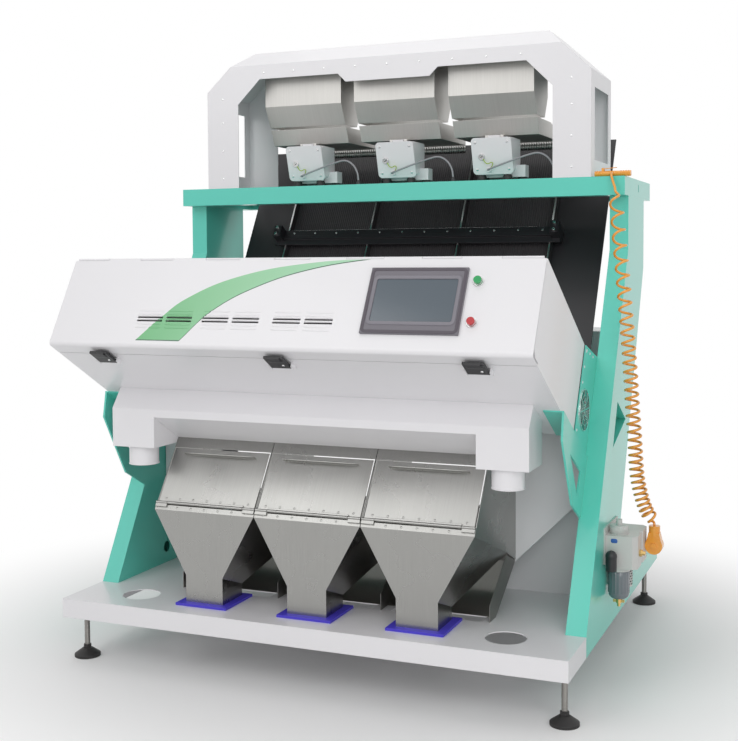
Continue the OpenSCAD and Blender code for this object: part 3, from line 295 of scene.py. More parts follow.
def screw_heads(name, places, axis, radius, height, body, slot):
    """Domed heads on a flat face: a short side, then a crown that closes towards the middle."""
    dome = [(-0.4, radius), (0.25 * height, radius), (0.7 * height, 0.86 * radius), (0.95 * height, 0.5 * radius),
            (height, 0.12 * radius)]
    return grids_piece(name, copies(lathe(dome, axis, 14), places), body, slot)


print("shape helpers: lathe, bar, tube")

# %% [markdown]
# ## The optics door
#
# The long white door has three groups of louvres. Only the two middle rows are cut through; the others are ribs
# pressed a little way out of the sheet. Each cut row has a small hood over it that keeps dust out. Ribs and hoods
# are rounded bars that lie half inside the sheet.

# %% Louvres
louvre_x = (np.array([-367.0, -149.0, 78.0])[:, None] + np.array([-49.0, 49.0])).ravel()


def door_points(xs, into, ups):
    """All pairs of places across the door and up it, as machine millimetres."""
    x, w = np.meshgrid(xs, ups, indexing="ij")
    return tilted(np.stack([x, np.full_like(x, into), w], -1).reshape(-1, 3), NOSE)


rib_rows, hood_rows = [62.5, 73.5, 106.5, 117.5], [88.8, 99.8]
ribs = copies(bar_of(43, ACROSS, 1.5 * INTO, 2.6 * UP), door_points(louvre_x, 0.0, rib_rows))
hoods = copies(bar_of(43.5, ACROSS, 2.6 * INTO, 1.5 * UP), door_points(louvre_x, 0.0, hood_rows))
grids_piece("louvre_ribs", np.concatenate([ribs, hoods]), "door", "white_paint")
print("louvres:", len(ribs), "ribs", len(hoods), "hoods")

# %% [markdown]
# The touch screen sits in a dark moulded bezel with a paler inner frame. The frame is a small rounded profile
# carried around a rectangle with round corners, which leaves no seam at the corners.

# %% Screen frame and button rings
def round_rectangle(half_w, half_h, radius, per_corner=8):
    """Points and outward directions around a rectangle: a quarter circle at each corner, joined by the sides."""
    turn = np.concatenate([np.linspace(0, math.pi / 2, per_corner) + q * math.pi / 2 for q in range(4)])
    way = np.stack([np.cos(turn), np.sin(turn)], 1)
    sign_x = np.repeat([1, -1, -1, 1], per_corner)
    sign_y = np.repeat([1, 1, -1, -1], per_corner)
    corner = np.stack([sign_x * (half_w - radius), sign_y * (half_h - radius)], 1)
    return np.vstack([corner + radius * way, (corner + radius * way)[:1]]), np.vstack([way, way[:1]])


def frame_around(centre, half_w, half_h, radius, profile):
    """A profile of (outwards, forwards) pairs carried around a round rectangle on the door."""
    loop, way = round_rectangle(half_w, half_h, radius)
    profile = np.asarray(profile, float)
    flat = loop[:, None] + profile[None, :, :1] * way[:, None]
    forward = np.broadcast_to(-profile[None, :, 1:], flat.shape[:2] + (1,))
    local = np.concatenate([flat[..., :1], forward, flat[..., 1:]], -1)
    return tilted(local + np.asarray(centre), NOSE)


SCREEN_MIDDLE = (398, -7.6, 155)
inner_profile = [(0, -1), (0, 1.6), (1.5, 2.4), (9, 2.4), (10.5, 1.2), (10.5, -1)]
inner_frame = frame_around(SCREEN_MIDDLE, 117, 65, 6, inner_profile)
grids_piece("screen_inner_frame", inner_frame[None], "door", "bezel_plastic", caps=False)
lip_profile = [(0, -1), (0.6, 1.4), (3, 2.2), (7, 2.2), (9, 1.4), (9.8, -1)]
outer_lip = frame_around(SCREEN_MIDDLE, 129, 90, 5, lip_profile)
grids_piece("screen_outer_lip", outer_lip[None], "door", "bezel_plastic", caps=False)
ring = lathe([(-1, 15.6), (2.8, 15.6), (4.0, 14.6), (4.0, 12.2), (2.6, 11.8)], -INTO, 32)
rings_at = door_points([568.0], -0.2, [216.0, 93.0])
grids_piece("button_rings", copies(ring, rings_at), "door", "bright_wire", caps=False)
print("screen frames: 2, button rings:", len(rings_at))

# %% [markdown]
# Three black latches hold the door shut from below. Each carries a raised finger plate and one bright screw, and
# they swing with their own latch.

# %% Latch fittings
LATCH_X = {"left": -580.0, "middle": 0.0, "right": 580.0}
plate = bar_of(23, ACROSS, 1.6 * UP, -9.0 * INTO)
for side_name, x in LATCH_X.items():
    body = "latch_" + side_name
    grids_piece(body + "_grip", copies(plate, tilted([(x, 44, -14.2)], NOSE)), body, "black_plastic")
    screw_heads(body + "_screw", tilted([(x + 14, 70, -14.0)], NOSE), -UP, 4.5, 2.0, body, "bright_wire")
print("latch fittings:", len(LATCH_X))

# %% [markdown]
# ## Inspection doors of the product hoppers
#
# The stainless doors hang on long hinges. Small rivets hold both leaves: one row rides on the door, the other stays
# on the hopper. They lean back by 35 degrees, so their heads point along that slope.

# %% Hinge rivets
LEAN = math.radians(35)
LEAF_OUT = np.array([0.0, -math.cos(LEAN), math.sin(LEAN)])
LEAF_UP = np.array([0.0, math.sin(LEAN), math.cos(LEAN)])
RIVET_R, RIVET_TALL = 3.6, 1.2
ON_DOOR, ON_LEAF = 38 * LEAF_UP, 8 * LEAF_UP
GRIP = 191 * LEAF_UP + 13.0 * LEAF_OUT
leaf_start = np.array([0.0, 91.0, 494.0])
lip = bar_of(124, ACROSS, 2.0 * -LEAF_OUT, 2.6 * LEAF_UP)
rivet_x = np.linspace(-144, 144, 7)[:, None] * ACROSS
for side_name, x in CHANNELS.items():
    start = leaf_start + x * ACROSS
    body = "hopper_door_" + side_name
    for row, place, rides in (("door_rivets_", ON_DOOR, body), ("leaf_rivets_", ON_LEAF, "machine")):
        screw_heads(row + side_name, start + rivet_x + place, LEAF_OUT, RIVET_R, RIVET_TALL, rides, "stainless")
    grids_piece("door_grip_" + side_name, copies(lip, start + GRIP), body, "stainless")
print("rivets:", 6 * len(rivet_x))

# %% [markdown]
# ## Chutes
#
# Grain slides down dark chutes whose floor is finely grooved, so that the grains run in rows. The grooves are a
# wave across each channel. Bright strips cap the walls between the channels, and a black bar clamps them together.

# %% Grooves and wall caps
CHUTE_LOW, CHUTE_HIGH = -870.0, 189.0


def chute_floor(x_from, x_to, groove=8.0):
    """A wavy sheet down a channel: its depth follows the absolute cosine of the place across, one wave a groove."""
    x = np.linspace(x_from, x_to, int((x_to - x_from) / groove * 8) + 1)
    into = -2.0 + 1.6 * np.abs(np.cos(math.pi * (x - x_from) / groove))
    rows = [np.stack([x, into, np.full_like(x, up)], 1) for up in (CHUTE_LOW, CHUTE_HIGH)]
    return tilted(np.stack(rows), CHUTE_HEAD)


floor_edges = {"left": (-503.5, -177.5), "middle": (-170.5, 170.5), "right": (177.5, 503.5)}
for side_name, (x_from, x_to) in floor_edges.items():
    sheet = chute_floor(x_from, x_to)[None]
    grids_piece("chute_floor_" + side_name, sheet, "machine", "dark_chute", round_trip=False, smooth=60)
cap_outline = np.array([(2.8, -28.9), (2.8, -27.2), (-2.8, -27.2), (-2.8, -28.9)])
caps_at = np.array([-507.0, -174.0, 174.0, 507.0])
cap_rows = [np.column_stack([cap_outline, np.full(4, up)]) for up in (CHUTE_LOW, CHUTE_HIGH + 0.5)]
caps_grid = np.stack(cap_rows)[None] + caps_at[:, None, None, None] * ACROSS
grids_piece("chute_wall_caps", tilted(caps_grid, CHUTE_HEAD), "machine", "bright_wire")
print("chute floors:", len(floor_edges), "wall caps:", len(caps_at))

# %% Clamp bar fittings
BAR_FACE, BAR_UP = -36.0, -206.0
bar_places = tilted([(x, BAR_FACE, BAR_UP) for x in np.linspace(-478, 478, 12)], CHUTE_HEAD)
screw_heads("clamp_screws", bar_places, -INTO, 4.0, 2.4, "machine", "bright_wire")
# A bright strip along the top edge of the black clamp bar: a painted highlight.
bar_highlight = bar_of(543, ACROSS, 3.2 * INTO, 0.9 * UP)
fixed("clamp_bar_highlight", bar_highlight, tilted([(0, -33.2, -192.6)], CHUTE_HEAD), "bright_wire")
pin = lathe([(-2, 6), (7, 6), (8.5, 5), (9, 1)], -INTO, 18)
pins_at = tilted([(x, -78, up) for x in (-529, 529) for up in (-232, BAR_UP)], CHUTE_HEAD)
fixed("clamp_pins", pin, pins_at, "bright_wire")
print("clamp screws:", len(bar_places), "pins:", len(pins_at))

# %% [markdown]
# ## Feeders
#
# Each tray ends in a ribbed lip that spreads the grain over the chute; it shakes with its tray. The drives under
# the trays are white housings with a screw in each corner, a bright adjusting boss with a slot, a thin earth wire
# and a grey lead that arches down to a gland on the top frame. They stand on black rubber.

# %% Tray lips
LIP_HALF, LIP_BACK, LIP_LOW, LIP_HIGH = 147, 1162.6, 1655.0, 1684.0
LIP_WAVE, LIP_DEPTH, LIP_SHEET = 9, 1.4, 0.0008


def tray_lip(x):
    """An upright sheet under the end of a tray: its depth is a sine wave of the place across."""
    across = np.linspace(-LIP_HALF, LIP_HALF, 33 * 8 + 1)
    depth = LIP_BACK + LIP_DEPTH * np.sin(2 * math.pi * across / LIP_WAVE)
    rows = [np.stack([x + across, depth, np.full_like(across, z)], 1) for z in (LIP_LOW, LIP_HIGH)]
    return np.stack(rows)


for side_name, x in CHANNELS.items():
    body = "feeder_tray_" + side_name
    lip = grids_piece("tray_lip_" + side_name, tray_lip(x)[None], body, "stainless", round_trip=False, smooth=60)
    wall = lip.modifiers.new("wall", "SOLIDIFY")
    wall.thickness = LIP_SHEET
print("tray lips:", len(CHANNELS))

# %% Drive fittings
DRIVE = math.radians(17)
DRIVE_OUT = np.array([0.0, -math.cos(DRIVE), -math.sin(DRIVE)])
DRIVE_UP = np.array([0.0, -math.sin(DRIVE), math.cos(DRIVE)])
DRIVE_FOOT = np.array([0.0, 852.0, 1551.0])
BOSS_X, BOSS_UP = -36, 62


def on_drives(x, up, out):
    """One place on the face of all three drives: across, up the face and out of it from its lower middle."""
    return np.array([(c + x) * ACROSS + DRIVE_FOOT + up * DRIVE_UP + out * DRIVE_OUT for c in CHANNELS.values()])


corners = np.concatenate([on_drives(x, up, 0.0) for x in (-55, 55) for up in (17, 110)])
screw_heads("drive_screws", corners, DRIVE_OUT, 4.6, 1.8, "machine", "bright_wire")
boss = lathe([(-1, 11.2), (5.2, 11.2), (6.2, 10.2), (6.2, 7.0), (5.2, 6.4), (5.2, 0.6)], DRIVE_OUT, 28)
fixed("drive_bosses", boss, on_drives(BOSS_X, BOSS_UP, 0.0), "bright_wire")
slot_run, slot_side = ACROSS * 0.8 + DRIVE_UP * 0.6, DRIVE_UP * 0.8 - ACROSS * 0.6
# The slot in each boss is a black bar in its recess: painted shade for the dark slot.
slot_shade_bar = bar_of(5.6, slot_run, 0.9 * -DRIVE_OUT, 1.2 * slot_side)
fixed("drive_boss_slot_shade", slot_shade_bar, on_drives(BOSS_X, BOSS_UP, 5.2), "black_plastic")
mount = lathe([(0.2, 14), (4, 15.5), (19, 15.5), (24.2, 13)], HIGH, 20)
feet_of_drive = ((-45, 868), (45, 868), (-50, 914), (84, 914))
mounts_at = np.array([(c + x, y, BEAM_TOP) for c in CHANNELS.values() for x, y in feet_of_drive])
fixed("drive_mounts", mount, mounts_at, "foot_rubber")
print("drive screws:", len(corners), "rubber mounts:", len(mounts_at))

# %% Drive leads
LEAD_R, WIRE_R = 3.0, 1.5
GLAND_X, GLAND_Y = 222, 800
lead_route = np.array([
    (-13, 838, 1566), (-13, 828, 1566), (5, 821, 1571), (60, 821, 1589), (125, 820, 1609), (166, 814, 1614),
    (198, 806, 1598), (217, 801, 1569), (GLAND_X, GLAND_Y, 1534)], float)
lead = tube_along(smooth_line(lead_route, 8), LEAD_R)
lead_tubes = np.stack([lead + c * ACROSS for c in CHANNELS.values()])
leads = grids_piece("drive_lead_tubes", lead_tubes, "machine", "grey_lead")
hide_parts("drive_leads")
gland = lathe([(0.2, 9), (7, 9), (7.6, 7.6), (13, 7.0), (16.5, 4.2), (17, 3.1)], HIGH, 12)
glands_at = [(c + GLAND_X, GLAND_Y, BEAM_TOP) for c in CHANNELS.values()]
fixed("lead_glands", gland, glands_at, "black_plastic")
wire_route = [(-30, 55, 5), (-22, 44, 11), (-12, 40, 13), (-2, 44, 11), (3, 40, 9), (-2, 28, 8), (-10, 22, 6)]
wire_line = np.concatenate([on_drives(*p)[1:2] for p in wire_route])
wire = tube_along(smooth_line(wire_line, 6), WIRE_R, 8, hint=(0.3, 0.9, 0.3))
grids_piece("earth_wires", np.stack([wire + c * ACROSS for c in CHANNELS.values()]), "machine", "grey_lead")
print("leads and earth wires:", len(lead_tubes), "each")

# %% [markdown]
# ## Screws in the sheet metal
#
# The cover and the side plates are screwed on. The heads are only a few millimetres across, yet they set the scale
# of the large plain sheets.

# %% Cover and side plate screws
ARCH_UP, LEG_X, PLATE_X = 405, 637, 748.0
cover_places = [(x, BEAM_FRONT, BEAM_TOP + ARCH_UP) for x in np.linspace(-470, 470, 9)] + [
    (k * LEG_X, BEAM_FRONT, z) for k in (-1, 1) for z in (1560, 1660, 1760, 1845)]
screw_heads("cover_screws", cover_places, -BACK, 3.2, 1.3, "machine", "bright_wire")
edge_share = np.linspace(0.08, 0.95, 6)[:, None]
rear_edge = np.array([327.5, 755.5]) + edge_share * np.array([145.5, 252.0]) + np.array([12.0, -7.0])
top_edge = np.array([485.0, 990.0]) + np.linspace(0, 1, 3)[:, None] * np.array([85.0, -26.0])
low_edge = np.array([345.0, 728.0]) + np.linspace(0.2, 1, 3)[:, None] * np.array([90.0, -50.0])
plate_edge = np.vstack([rear_edge, top_edge, low_edge])
for side_name, k in (("left", -1), ("right", 1)):
    places = np.column_stack([np.full(len(plate_edge), k * PLATE_X), plate_edge])
    screw_heads("plate_screws_" + side_name, places, k * ACROSS, 4.2, 1.6, "machine", "white_paint")
print("sheet screws:", len(cover_places) + 2 * len(plate_edge))

# %% [markdown]
# ## Feet
#
# The levelling feet have threaded steel stems. A thread is a lathe shape whose radius also depends on the turn: the
# crest climbs by one pitch on each round.

# %% Threaded stems
def thread(low, high, radius, depth, lead_height, columns=20):
    """A screw thread: the radius falls from crest to root with the triangle wave of height over lead less turn."""
    z = np.arange(low, high, lead_height / 6)[:, None]
    turn = np.linspace(0, 1, columns, endpoint=False)[None]
    wave = np.abs((z / lead_height - turn) % 1.0 - 0.5) * 2
    r, angle = radius - depth * wave, 2 * math.pi * turn
    return np.stack([r * np.cos(angle), r * np.sin(angle), np.broadcast_to(z, r.shape)], -1)


stem = thread(38.2, 132.0, 9.0, 0.8, 4.0)
FOOT_X, FOOT_Y = {"left": -778, "right": 778}, {"front": 84, "rear": 1334}
for row, y in FOOT_Y.items():
    for side_name, x in FOOT_X.items():
        body = "foot_%s_%s" % (row, side_name)
        grids_piece(body + "_thread", copies(stem, [(x, y, 0)]), body, "dull_steel", smooth=60)
print("thread rings:", len(stem))

# %% [markdown]
# ## Dust spouts and air unit
#
# The two spouts end in a rolled bead that keeps the hose clamp on. The air unit has a fluted bowl under a collar, a
# perforated guard around the second bowl, a knurled cap, a plain blue tag and a brass plug.

# %% Spout beads
bead = lathe([(0, 46.3), (0.6, 47.8), (2.2, 48.4), (3.8, 47.8), (4.4, 46.3)], HIGH, 48)
spouts = [(k * 599, 155, 622.3) for k in (-1, 1)]
fixed("spout_beads", bead, spouts, "white_paint", caps=False)
print("spout beads:", len(spouts))


# %% Bowl, guard and cap
def fluted(z_low, z_high, radius, depth, flutes, columns):
    """A fluted sleeve: the radius grows by depth times the positive part of the cosine of flutes times the turn."""
    turn = round_turn(columns)
    r = radius + depth * np.clip(np.cos(flutes * turn), 0, 1)
    z = np.array([z_low, z_low + 1.5, z_high - 1.5, z_high])[:, None]
    grow = np.array([0.97, 1.0, 1.0, 0.97])[:, None]
    return np.stack([grow * r * np.cos(turn), grow * r * np.sin(turn), np.broadcast_to(z, (4, columns))], -1)


BOWL, GUARD = (844, 500, 0), np.array([844.0, 590.0, 0.0])
HOLES_ROUND = 18
fixed("bowl_flutes", fluted(264, 331, 31.3, 1.1, 18, 144), [BOWL], "grey_plastic", smooth=50)
collar = lathe([(331, 31.2), (332, 34), (342, 34.5), (344.6, 34.5)], HIGH, 40)
fixed("bowl_collar", collar, [BOWL], "pale_casting")
fixed("cap_knurl", fluted(446, 465, 26.2, 1.3, 30, 180), [BOWL], "pale_casting", smooth=50)
turns_round = np.arange(HOLES_ROUND) * 2 * math.pi / HOLES_ROUND
hole_z = np.arange(270.0, 340.0, 8.0)
z, turn = np.meshgrid(hole_z, turns_round, indexing="ij")
turn = (turn + (np.arange(len(hole_z)) % 2)[:, None] * math.pi / HOLES_ROUND).ravel()
outward = np.stack([np.cos(turn), np.sin(turn), np.zeros_like(turn)], 1)
sideways_round = np.stack([-np.sin(turn), np.cos(turn), np.zeros_like(turn)], 1)
spin = round_turn(8)
disc = np.cos(spin)[None, :, None] * sideways_round[:, None] + np.sin(spin)[None, :, None] * HIGH
hole_at = GUARD + z.ravel()[:, None] * HIGH
hole_steps = ((24.0, 2.9), (24.35, 2.6))
# The holes are black discs on the guard: painted shade for the dark inside of each hole.
hole_shade_discs = np.stack([(hole_at + r * outward)[:, None] + hole_r * disc for r, hole_r in hole_steps], 1)
grids_piece("guard_hole_shade", hole_shade_discs, "machine", "black_plastic")
print("guard holes:", len(hole_shade_discs))

# %% Tag, plug and gun rings
tag = bar_of(10, ACROSS, 1.0 * BACK, 6.5 * HIGH)
fixed("air_tag", tag, [(838, 454.8, 428)], "blue_gasket")
plug = lathe([(-1, 11), (7, 11), (8, 9.5), (8, 7), (16, 6.4), (17, 5)], ACROSS, 6)
fixed("brass_plug", plug, [(905, 500, 388)], "brass")
gun_bead = lathe([(-2.4, 8.8), (-1.2, 9.9), (1.2, 9.9), (2.4, 8.8)], ACROSS, 24)
beads_at = [(x, 775, 1535) for x in (716, 724, 732, 792, 800, 808, 816)]
gun_rings = fixed("gun_rings", gun_bead, beads_at, "orange_plastic", caps=False)
print("gun rings:", len(beads_at))

# %% [markdown]
# ## The back of the machine
#
# The rear optics box leans much as the chutes do. Its back has vents for the lamps and two bow handles, made of a tube
# along a curve through seven points.

# %% Vents and handles
LEAN_SINE, LEAN_COSINE = 0.4395, 0.8982
BACK_UP = np.array([0.0, LEAN_SINE, LEAN_COSINE])
BACK_OUT = np.array([0.0, LEAN_COSINE, -LEAN_SINE])
HANDLE_R, HANDLE_UP, HANDLE_X = 6, 350, 360
back_start = np.array([0.0, 1010.0, 600.0])
vent = bar_of(75, ACROSS, 2.4 * BACK_OUT, 3.2 * BACK_UP)
vent_rows = np.arange(120, 260, 16)
vent_places = [back_start + x * ACROSS + s * BACK_UP for x in (-520, -350, 350, 520) for s in vent_rows]
fixed("rear_vents", vent, vent_places, "white_paint")
bow = [(-70, 0, -2), (-66, 0, 22), (-45, 0, 34), (0, 0, 37), (45, 0, 34), (66, 0, 22), (70, 0, -2)]
bow_line = smooth_line(np.array(bow, float), 6)
bow_place = bow_line[:, :1] * ACROSS + bow_line[:, 2:] * BACK_OUT
handles = [tube_along(back_start + x * ACROSS + HANDLE_UP * BACK_UP + bow_place, HANDLE_R, 12, hint=BACK_UP)
           for x in (-HANDLE_X, HANDLE_X)]
grids_piece("rear_handles", handles, "machine", "black_plastic")
rear_places = [back_start + x * ACROSS + s * BACK_UP for x in np.linspace(-720, 720, 7) for s in (14, 452)]
screw_heads("rear_screws", rear_places, BACK_OUT, 4.5, 1.8, "machine", "bright_wire")
print("pieces so far:", len(slot_of))

# %% [markdown]
# ## Finishes
#
# Most of the machine is powder-coated sheet. Such paint has a faint orange-peel surface, and its folded edges
# are round, so they catch a thin line of light; the materials paint that line into their colour as a highlight.
# A node group makes the orange peel, another finds the edges by comparing the true normal with a rounded one,
# and a third makes the long scratches of brushed stainless steel.
# Groups are worth the effort because each one is then placed in many materials with other values.

# %% Group helpers
def new_group(name, inputs, outputs):
    """A shader node group with float inputs {name: default} and float outputs."""
    group = bpy.data.node_groups.new(name, "ShaderNodeTree")
    for label, default in inputs.items():
        socket = group.interface.new_socket(label, in_out="INPUT", socket_type="NodeSocketFloat")
        socket.default_value = default
    for label in outputs:
        group.interface.new_socket(label, in_out="OUTPUT", socket_type="NodeSocketFloat")
    return group, group.nodes.new("NodeGroupInput"), group.nodes.new("NodeGroupOutput")


def node(tree, kind, **settings):
    """A new node with its settings; a setting that names an input socket sets that socket's value."""
    made = tree.nodes.new(kind)
    for key, value in settings.items():
        if hasattr(made, key):
            setattr(made, key, value)
        else:
            made.inputs[key.replace("_", " ")].default_value = value
    return made


def sums(tree, operation, first, second, clamp=False):
    """A math node on two values; each may be a socket or a number."""
    made = node(tree, "ShaderNodeMath", operation=operation, use_clamp=clamp)
    for socket, value in zip(made.inputs, (first, second)):
        if isinstance(value, bpy.types.NodeSocket):
            tree.links.new(value, socket)
        else:
            socket.default_value = value
    return made.outputs[0]


def looked_at(tree):
    """One where a ray comes from the camera, a glossy surface or glass, and nothing for light that spreads."""
    seen = node(tree, "ShaderNodeLightPath").outputs
    direct = sums(tree, "MAXIMUM", seen["Is Camera Ray"], seen["Is Glossy Ray"])
    return sums(tree, "MAXIMUM", direct, seen["Is Transmission Ray"])


print("group helpers ready")

# %% Orange peel and folded edges
peel, peel_in, peel_out = new_group("orange_peel", {"Size": 220.0, "Cloud": 2.2}, ["Height", "Cloud"])
link = peel.links.new
place = node(peel, "ShaderNodeTexCoord")
fine = node(peel, "ShaderNodeTexNoise", Detail=2.0)
broad = node(peel, "ShaderNodeTexNoise", Detail=3.0)
for texture, size in ((fine, "Size"), (broad, "Cloud")):
    link(place.outputs["Object"], texture.inputs["Vector"])
    link(peel_in.outputs[size], texture.inputs["Scale"])
link(fine.outputs["Fac"], peel_out.inputs["Height"])
link(broad.outputs["Fac"], peel_out.inputs["Cloud"])

edges, edges_in, edges_out = new_group("folded_edges", {"Radius": 0.0015, "Strength": 2.0}, ["Edge"])
link = edges.links.new
rounded = node(edges, "ShaderNodeBevel", samples=4)
link(edges_in.outputs["Radius"], rounded.inputs["Radius"])
true_normal = node(edges, "ShaderNodeNewGeometry")
likeness = node(edges, "ShaderNodeVectorMath", operation="DOT_PRODUCT")
link(rounded.outputs["Normal"], likeness.inputs[0])
link(true_normal.outputs["Normal"], likeness.inputs[1])
unlike = sums(edges, "SUBTRACT", 1.0, likeness.outputs["Value"])
link(sums(edges, "MULTIPLY", unlike, edges_in.outputs["Strength"], True), edges_out.inputs["Edge"])
print("groups:", peel.name, edges.name)

# %% Brushed lines
brushed, brushed_in, brushed_out = new_group(
    "brushed_lines", {"Across": 900.0, "Along": 9.0, "Cloud": 5.0}, ["Streak", "Cloud"])
link = brushed.links.new
place = node(brushed, "ShaderNodeTexCoord")
stretch = node(brushed, "ShaderNodeCombineXYZ")
link(brushed_in.outputs["Across"], stretch.inputs["X"])
link(brushed_in.outputs["Along"], stretch.inputs["Y"])
link(brushed_in.outputs["Along"], stretch.inputs["Z"])
drawn = node(brushed, "ShaderNodeVectorMath", operation="MULTIPLY")
link(place.outputs["Object"], drawn.inputs[0])
link(stretch.outputs[0], drawn.inputs[1])
lines = node(brushed, "ShaderNodeTexNoise", Scale=1.0, Detail=4.0)
link(drawn.outputs[0], lines.inputs["Vector"])
patches = node(brushed, "ShaderNodeTexNoise", Detail=5.0)
link(place.outputs["Object"], patches.inputs["Vector"])
link(brushed_in.outputs["Cloud"], patches.inputs["Scale"])
link(lines.outputs["Fac"], brushed_out.inputs["Streak"])
link(patches.outputs["Fac"], brushed_out.inputs["Cloud"])
print("group:", brushed.name)

# %% [markdown]
# The door carries a plain green sweep. It is painted by the shader and not by another sheet, because the louvre
# slots below it must stay open. The group measures how far across and how far up the door a point lies, and two
# curves give the upper and the lower edge of the sweep for each place across.

# %% Sweep on the door
SWEEP_LEFT, SWEEP_RIGHT, SWEEP_TALL = -445.0, 245.0, 300.0
upper_edge = [(-445, 20), (-380, 95), (-314, 157), (-147, 235), (91, 279), (245, 286)]
lower_edge = [(-445, 20), (-298, 20), (-210, 123), (-91, 197), (60, 252), (245, 286)]
sweep, sweep_in, sweep_out = new_group("door_sweep", {"Line": 3.0}, ["Sweep", "Line", "Tip"])
place = node(sweep, "ShaderNodeTexCoord")


def measured(direction, start):
    """Millimetres from start along a direction: the dot product of the two, less the part up to the start."""
    dot = node(sweep, "ShaderNodeVectorMath", operation="DOT_PRODUCT")
    sweep.links.new(place.outputs["Object"], dot.inputs[0])
    dot.inputs[1].default_value = tuple(1000 * np.asarray(direction))
    return sums(sweep, "SUBTRACT", dot.outputs["Value"], float(1000 * np.dot(direction, at(start))))


def edge_curve(share, points):
    """The height of an edge, as a curve through points over the share of the way across."""
    curve = node(sweep, "ShaderNodeFloatCurve")
    track = curve.mapping.curves[0]
    spots = [((x - SWEEP_LEFT) / (SWEEP_RIGHT - SWEEP_LEFT), w / SWEEP_TALL) for x, w in points]
    track.points[0].location, track.points[1].location = spots[0], spots[-1]
    for spot in spots[1:-1]:
        track.points.new(*spot)
    for point in track.points:
        point.handle_type = "VECTOR" if point.location[1] < 0.1 else "AUTO"
    curve.mapping.update()
    sweep.links.new(share, curve.inputs["Value"])
    return sums(sweep, "MULTIPLY", curve.outputs[0], SWEEP_TALL)


across_mm, up_mm, into_mm = measured(ACROSS, NOSE), measured(UP, NOSE), measured(INTO, NOSE)
share = sums(sweep, "DIVIDE", sums(sweep, "SUBTRACT", across_mm, SWEEP_LEFT), SWEEP_RIGHT - SWEEP_LEFT)
below_top = sums(sweep, "SUBTRACT", edge_curve(share, upper_edge), up_mm)
above_low = sums(sweep, "SUBTRACT", up_mm, edge_curve(share, lower_edge))
under, over = (sums(sweep, "ADD", gap, 0.5, True) for gap in (below_top, above_low))
between = sums(sweep, "MULTIPLY", under, over)
in_width = sums(sweep, "MULTIPLY", sums(sweep, "GREATER_THAN", share, 0.0), sums(sweep, "LESS_THAN", share, 1.0))
in_front = sums(sweep, "MULTIPLY", in_width, sums(sweep, "LESS_THAN", into_mm, 1.0))
inside = sums(sweep, "MULTIPLY", between, in_front)
near_low = sums(sweep, "LESS_THAN", above_low, sweep_in.outputs["Line"])
sweep.links.new(inside, sweep_out.inputs["Sweep"])
sweep.links.new(sums(sweep, "MULTIPLY", inside, near_low), sweep_out.inputs["Line"])
sweep.links.new(share, sweep_out.inputs["Tip"])
print("node groups:", [g.name for g in bpy.data.node_groups])

# %% [markdown]
# ## Paint, steel and plastic
#
# Each material places the groups with its own values. Paint mixes two close tones over broad clouds, takes a
# painted highlight at the folded edges and its small bumps from the orange peel. Steel varies its tone and
# roughness along the brushed lines, with a painted highlight at its edges. Plastic is paint with a finer grain and
# hardly any painted edge highlight.

# %% Material helpers
def start_material(name):
    """A new material; returns it with its tree and its Principled shader."""
    material = bpy.data.materials.new(name)
    material.use_nodes = True
    return material, material.node_tree, material.node_tree.nodes["Principled BSDF"]


def place_group(tree, group, **values):
    """The node group placed in a material, with its float inputs set."""
    return node(tree, "ShaderNodeGroup", node_tree=group, **values)


def mix_colours(tree, factor, first, second):
    """A colour that goes from first to second as the factor socket goes from 0 to 1."""
    mix = node(tree, "ShaderNodeMix", data_type="RGBA")
    tree.links.new(factor, mix.inputs["Factor"])
    for socket, colour in ((mix.inputs[6], first), (mix.inputs[7], second)):
        if isinstance(colour, bpy.types.NodeSocket):
            tree.links.new(colour, socket)
        else:
            socket.default_value = (*colour, 1.0)
    return mix.outputs[2]


def spread(tree, value, low, high):
    """The value socket, 0 to 1, mapped to low to high."""
    ramp = node(tree, "ShaderNodeMapRange", To_Min=low, To_Max=high)
    tree.links.new(value, ramp.inputs["Value"])
    return ramp.outputs[0]


def bumped(tree, height, distance, strength, radius):
    """A normal with bumps from the height socket, on edges rounded by radius."""
    bump = node(tree, "ShaderNodeBump", Distance=distance, Strength=strength)
    tree.links.new(height, bump.inputs["Height"])
    if radius:
        soft = node(tree, "ShaderNodeBevel", samples=6, Radius=radius)
        tree.links.new(soft.outputs["Normal"], bump.inputs["Normal"])
    return bump.outputs["Normal"]


def swept(tree, body):
    """The door's paint: the green sweep over the body colour, paler towards its tip, with a dark lower line."""
    mark = place_group(tree, sweep, Line=3.0)
    green = mix_colours(tree, mark.outputs["Tip"], (0.150, 0.460, 0.200), (0.420, 0.690, 0.480))
    body = mix_colours(tree, mark.outputs["Sweep"], body, green)
    return mix_colours(tree, mark.outputs["Line"], body, (0.030, 0.090, 0.055))


print("material helpers ready")

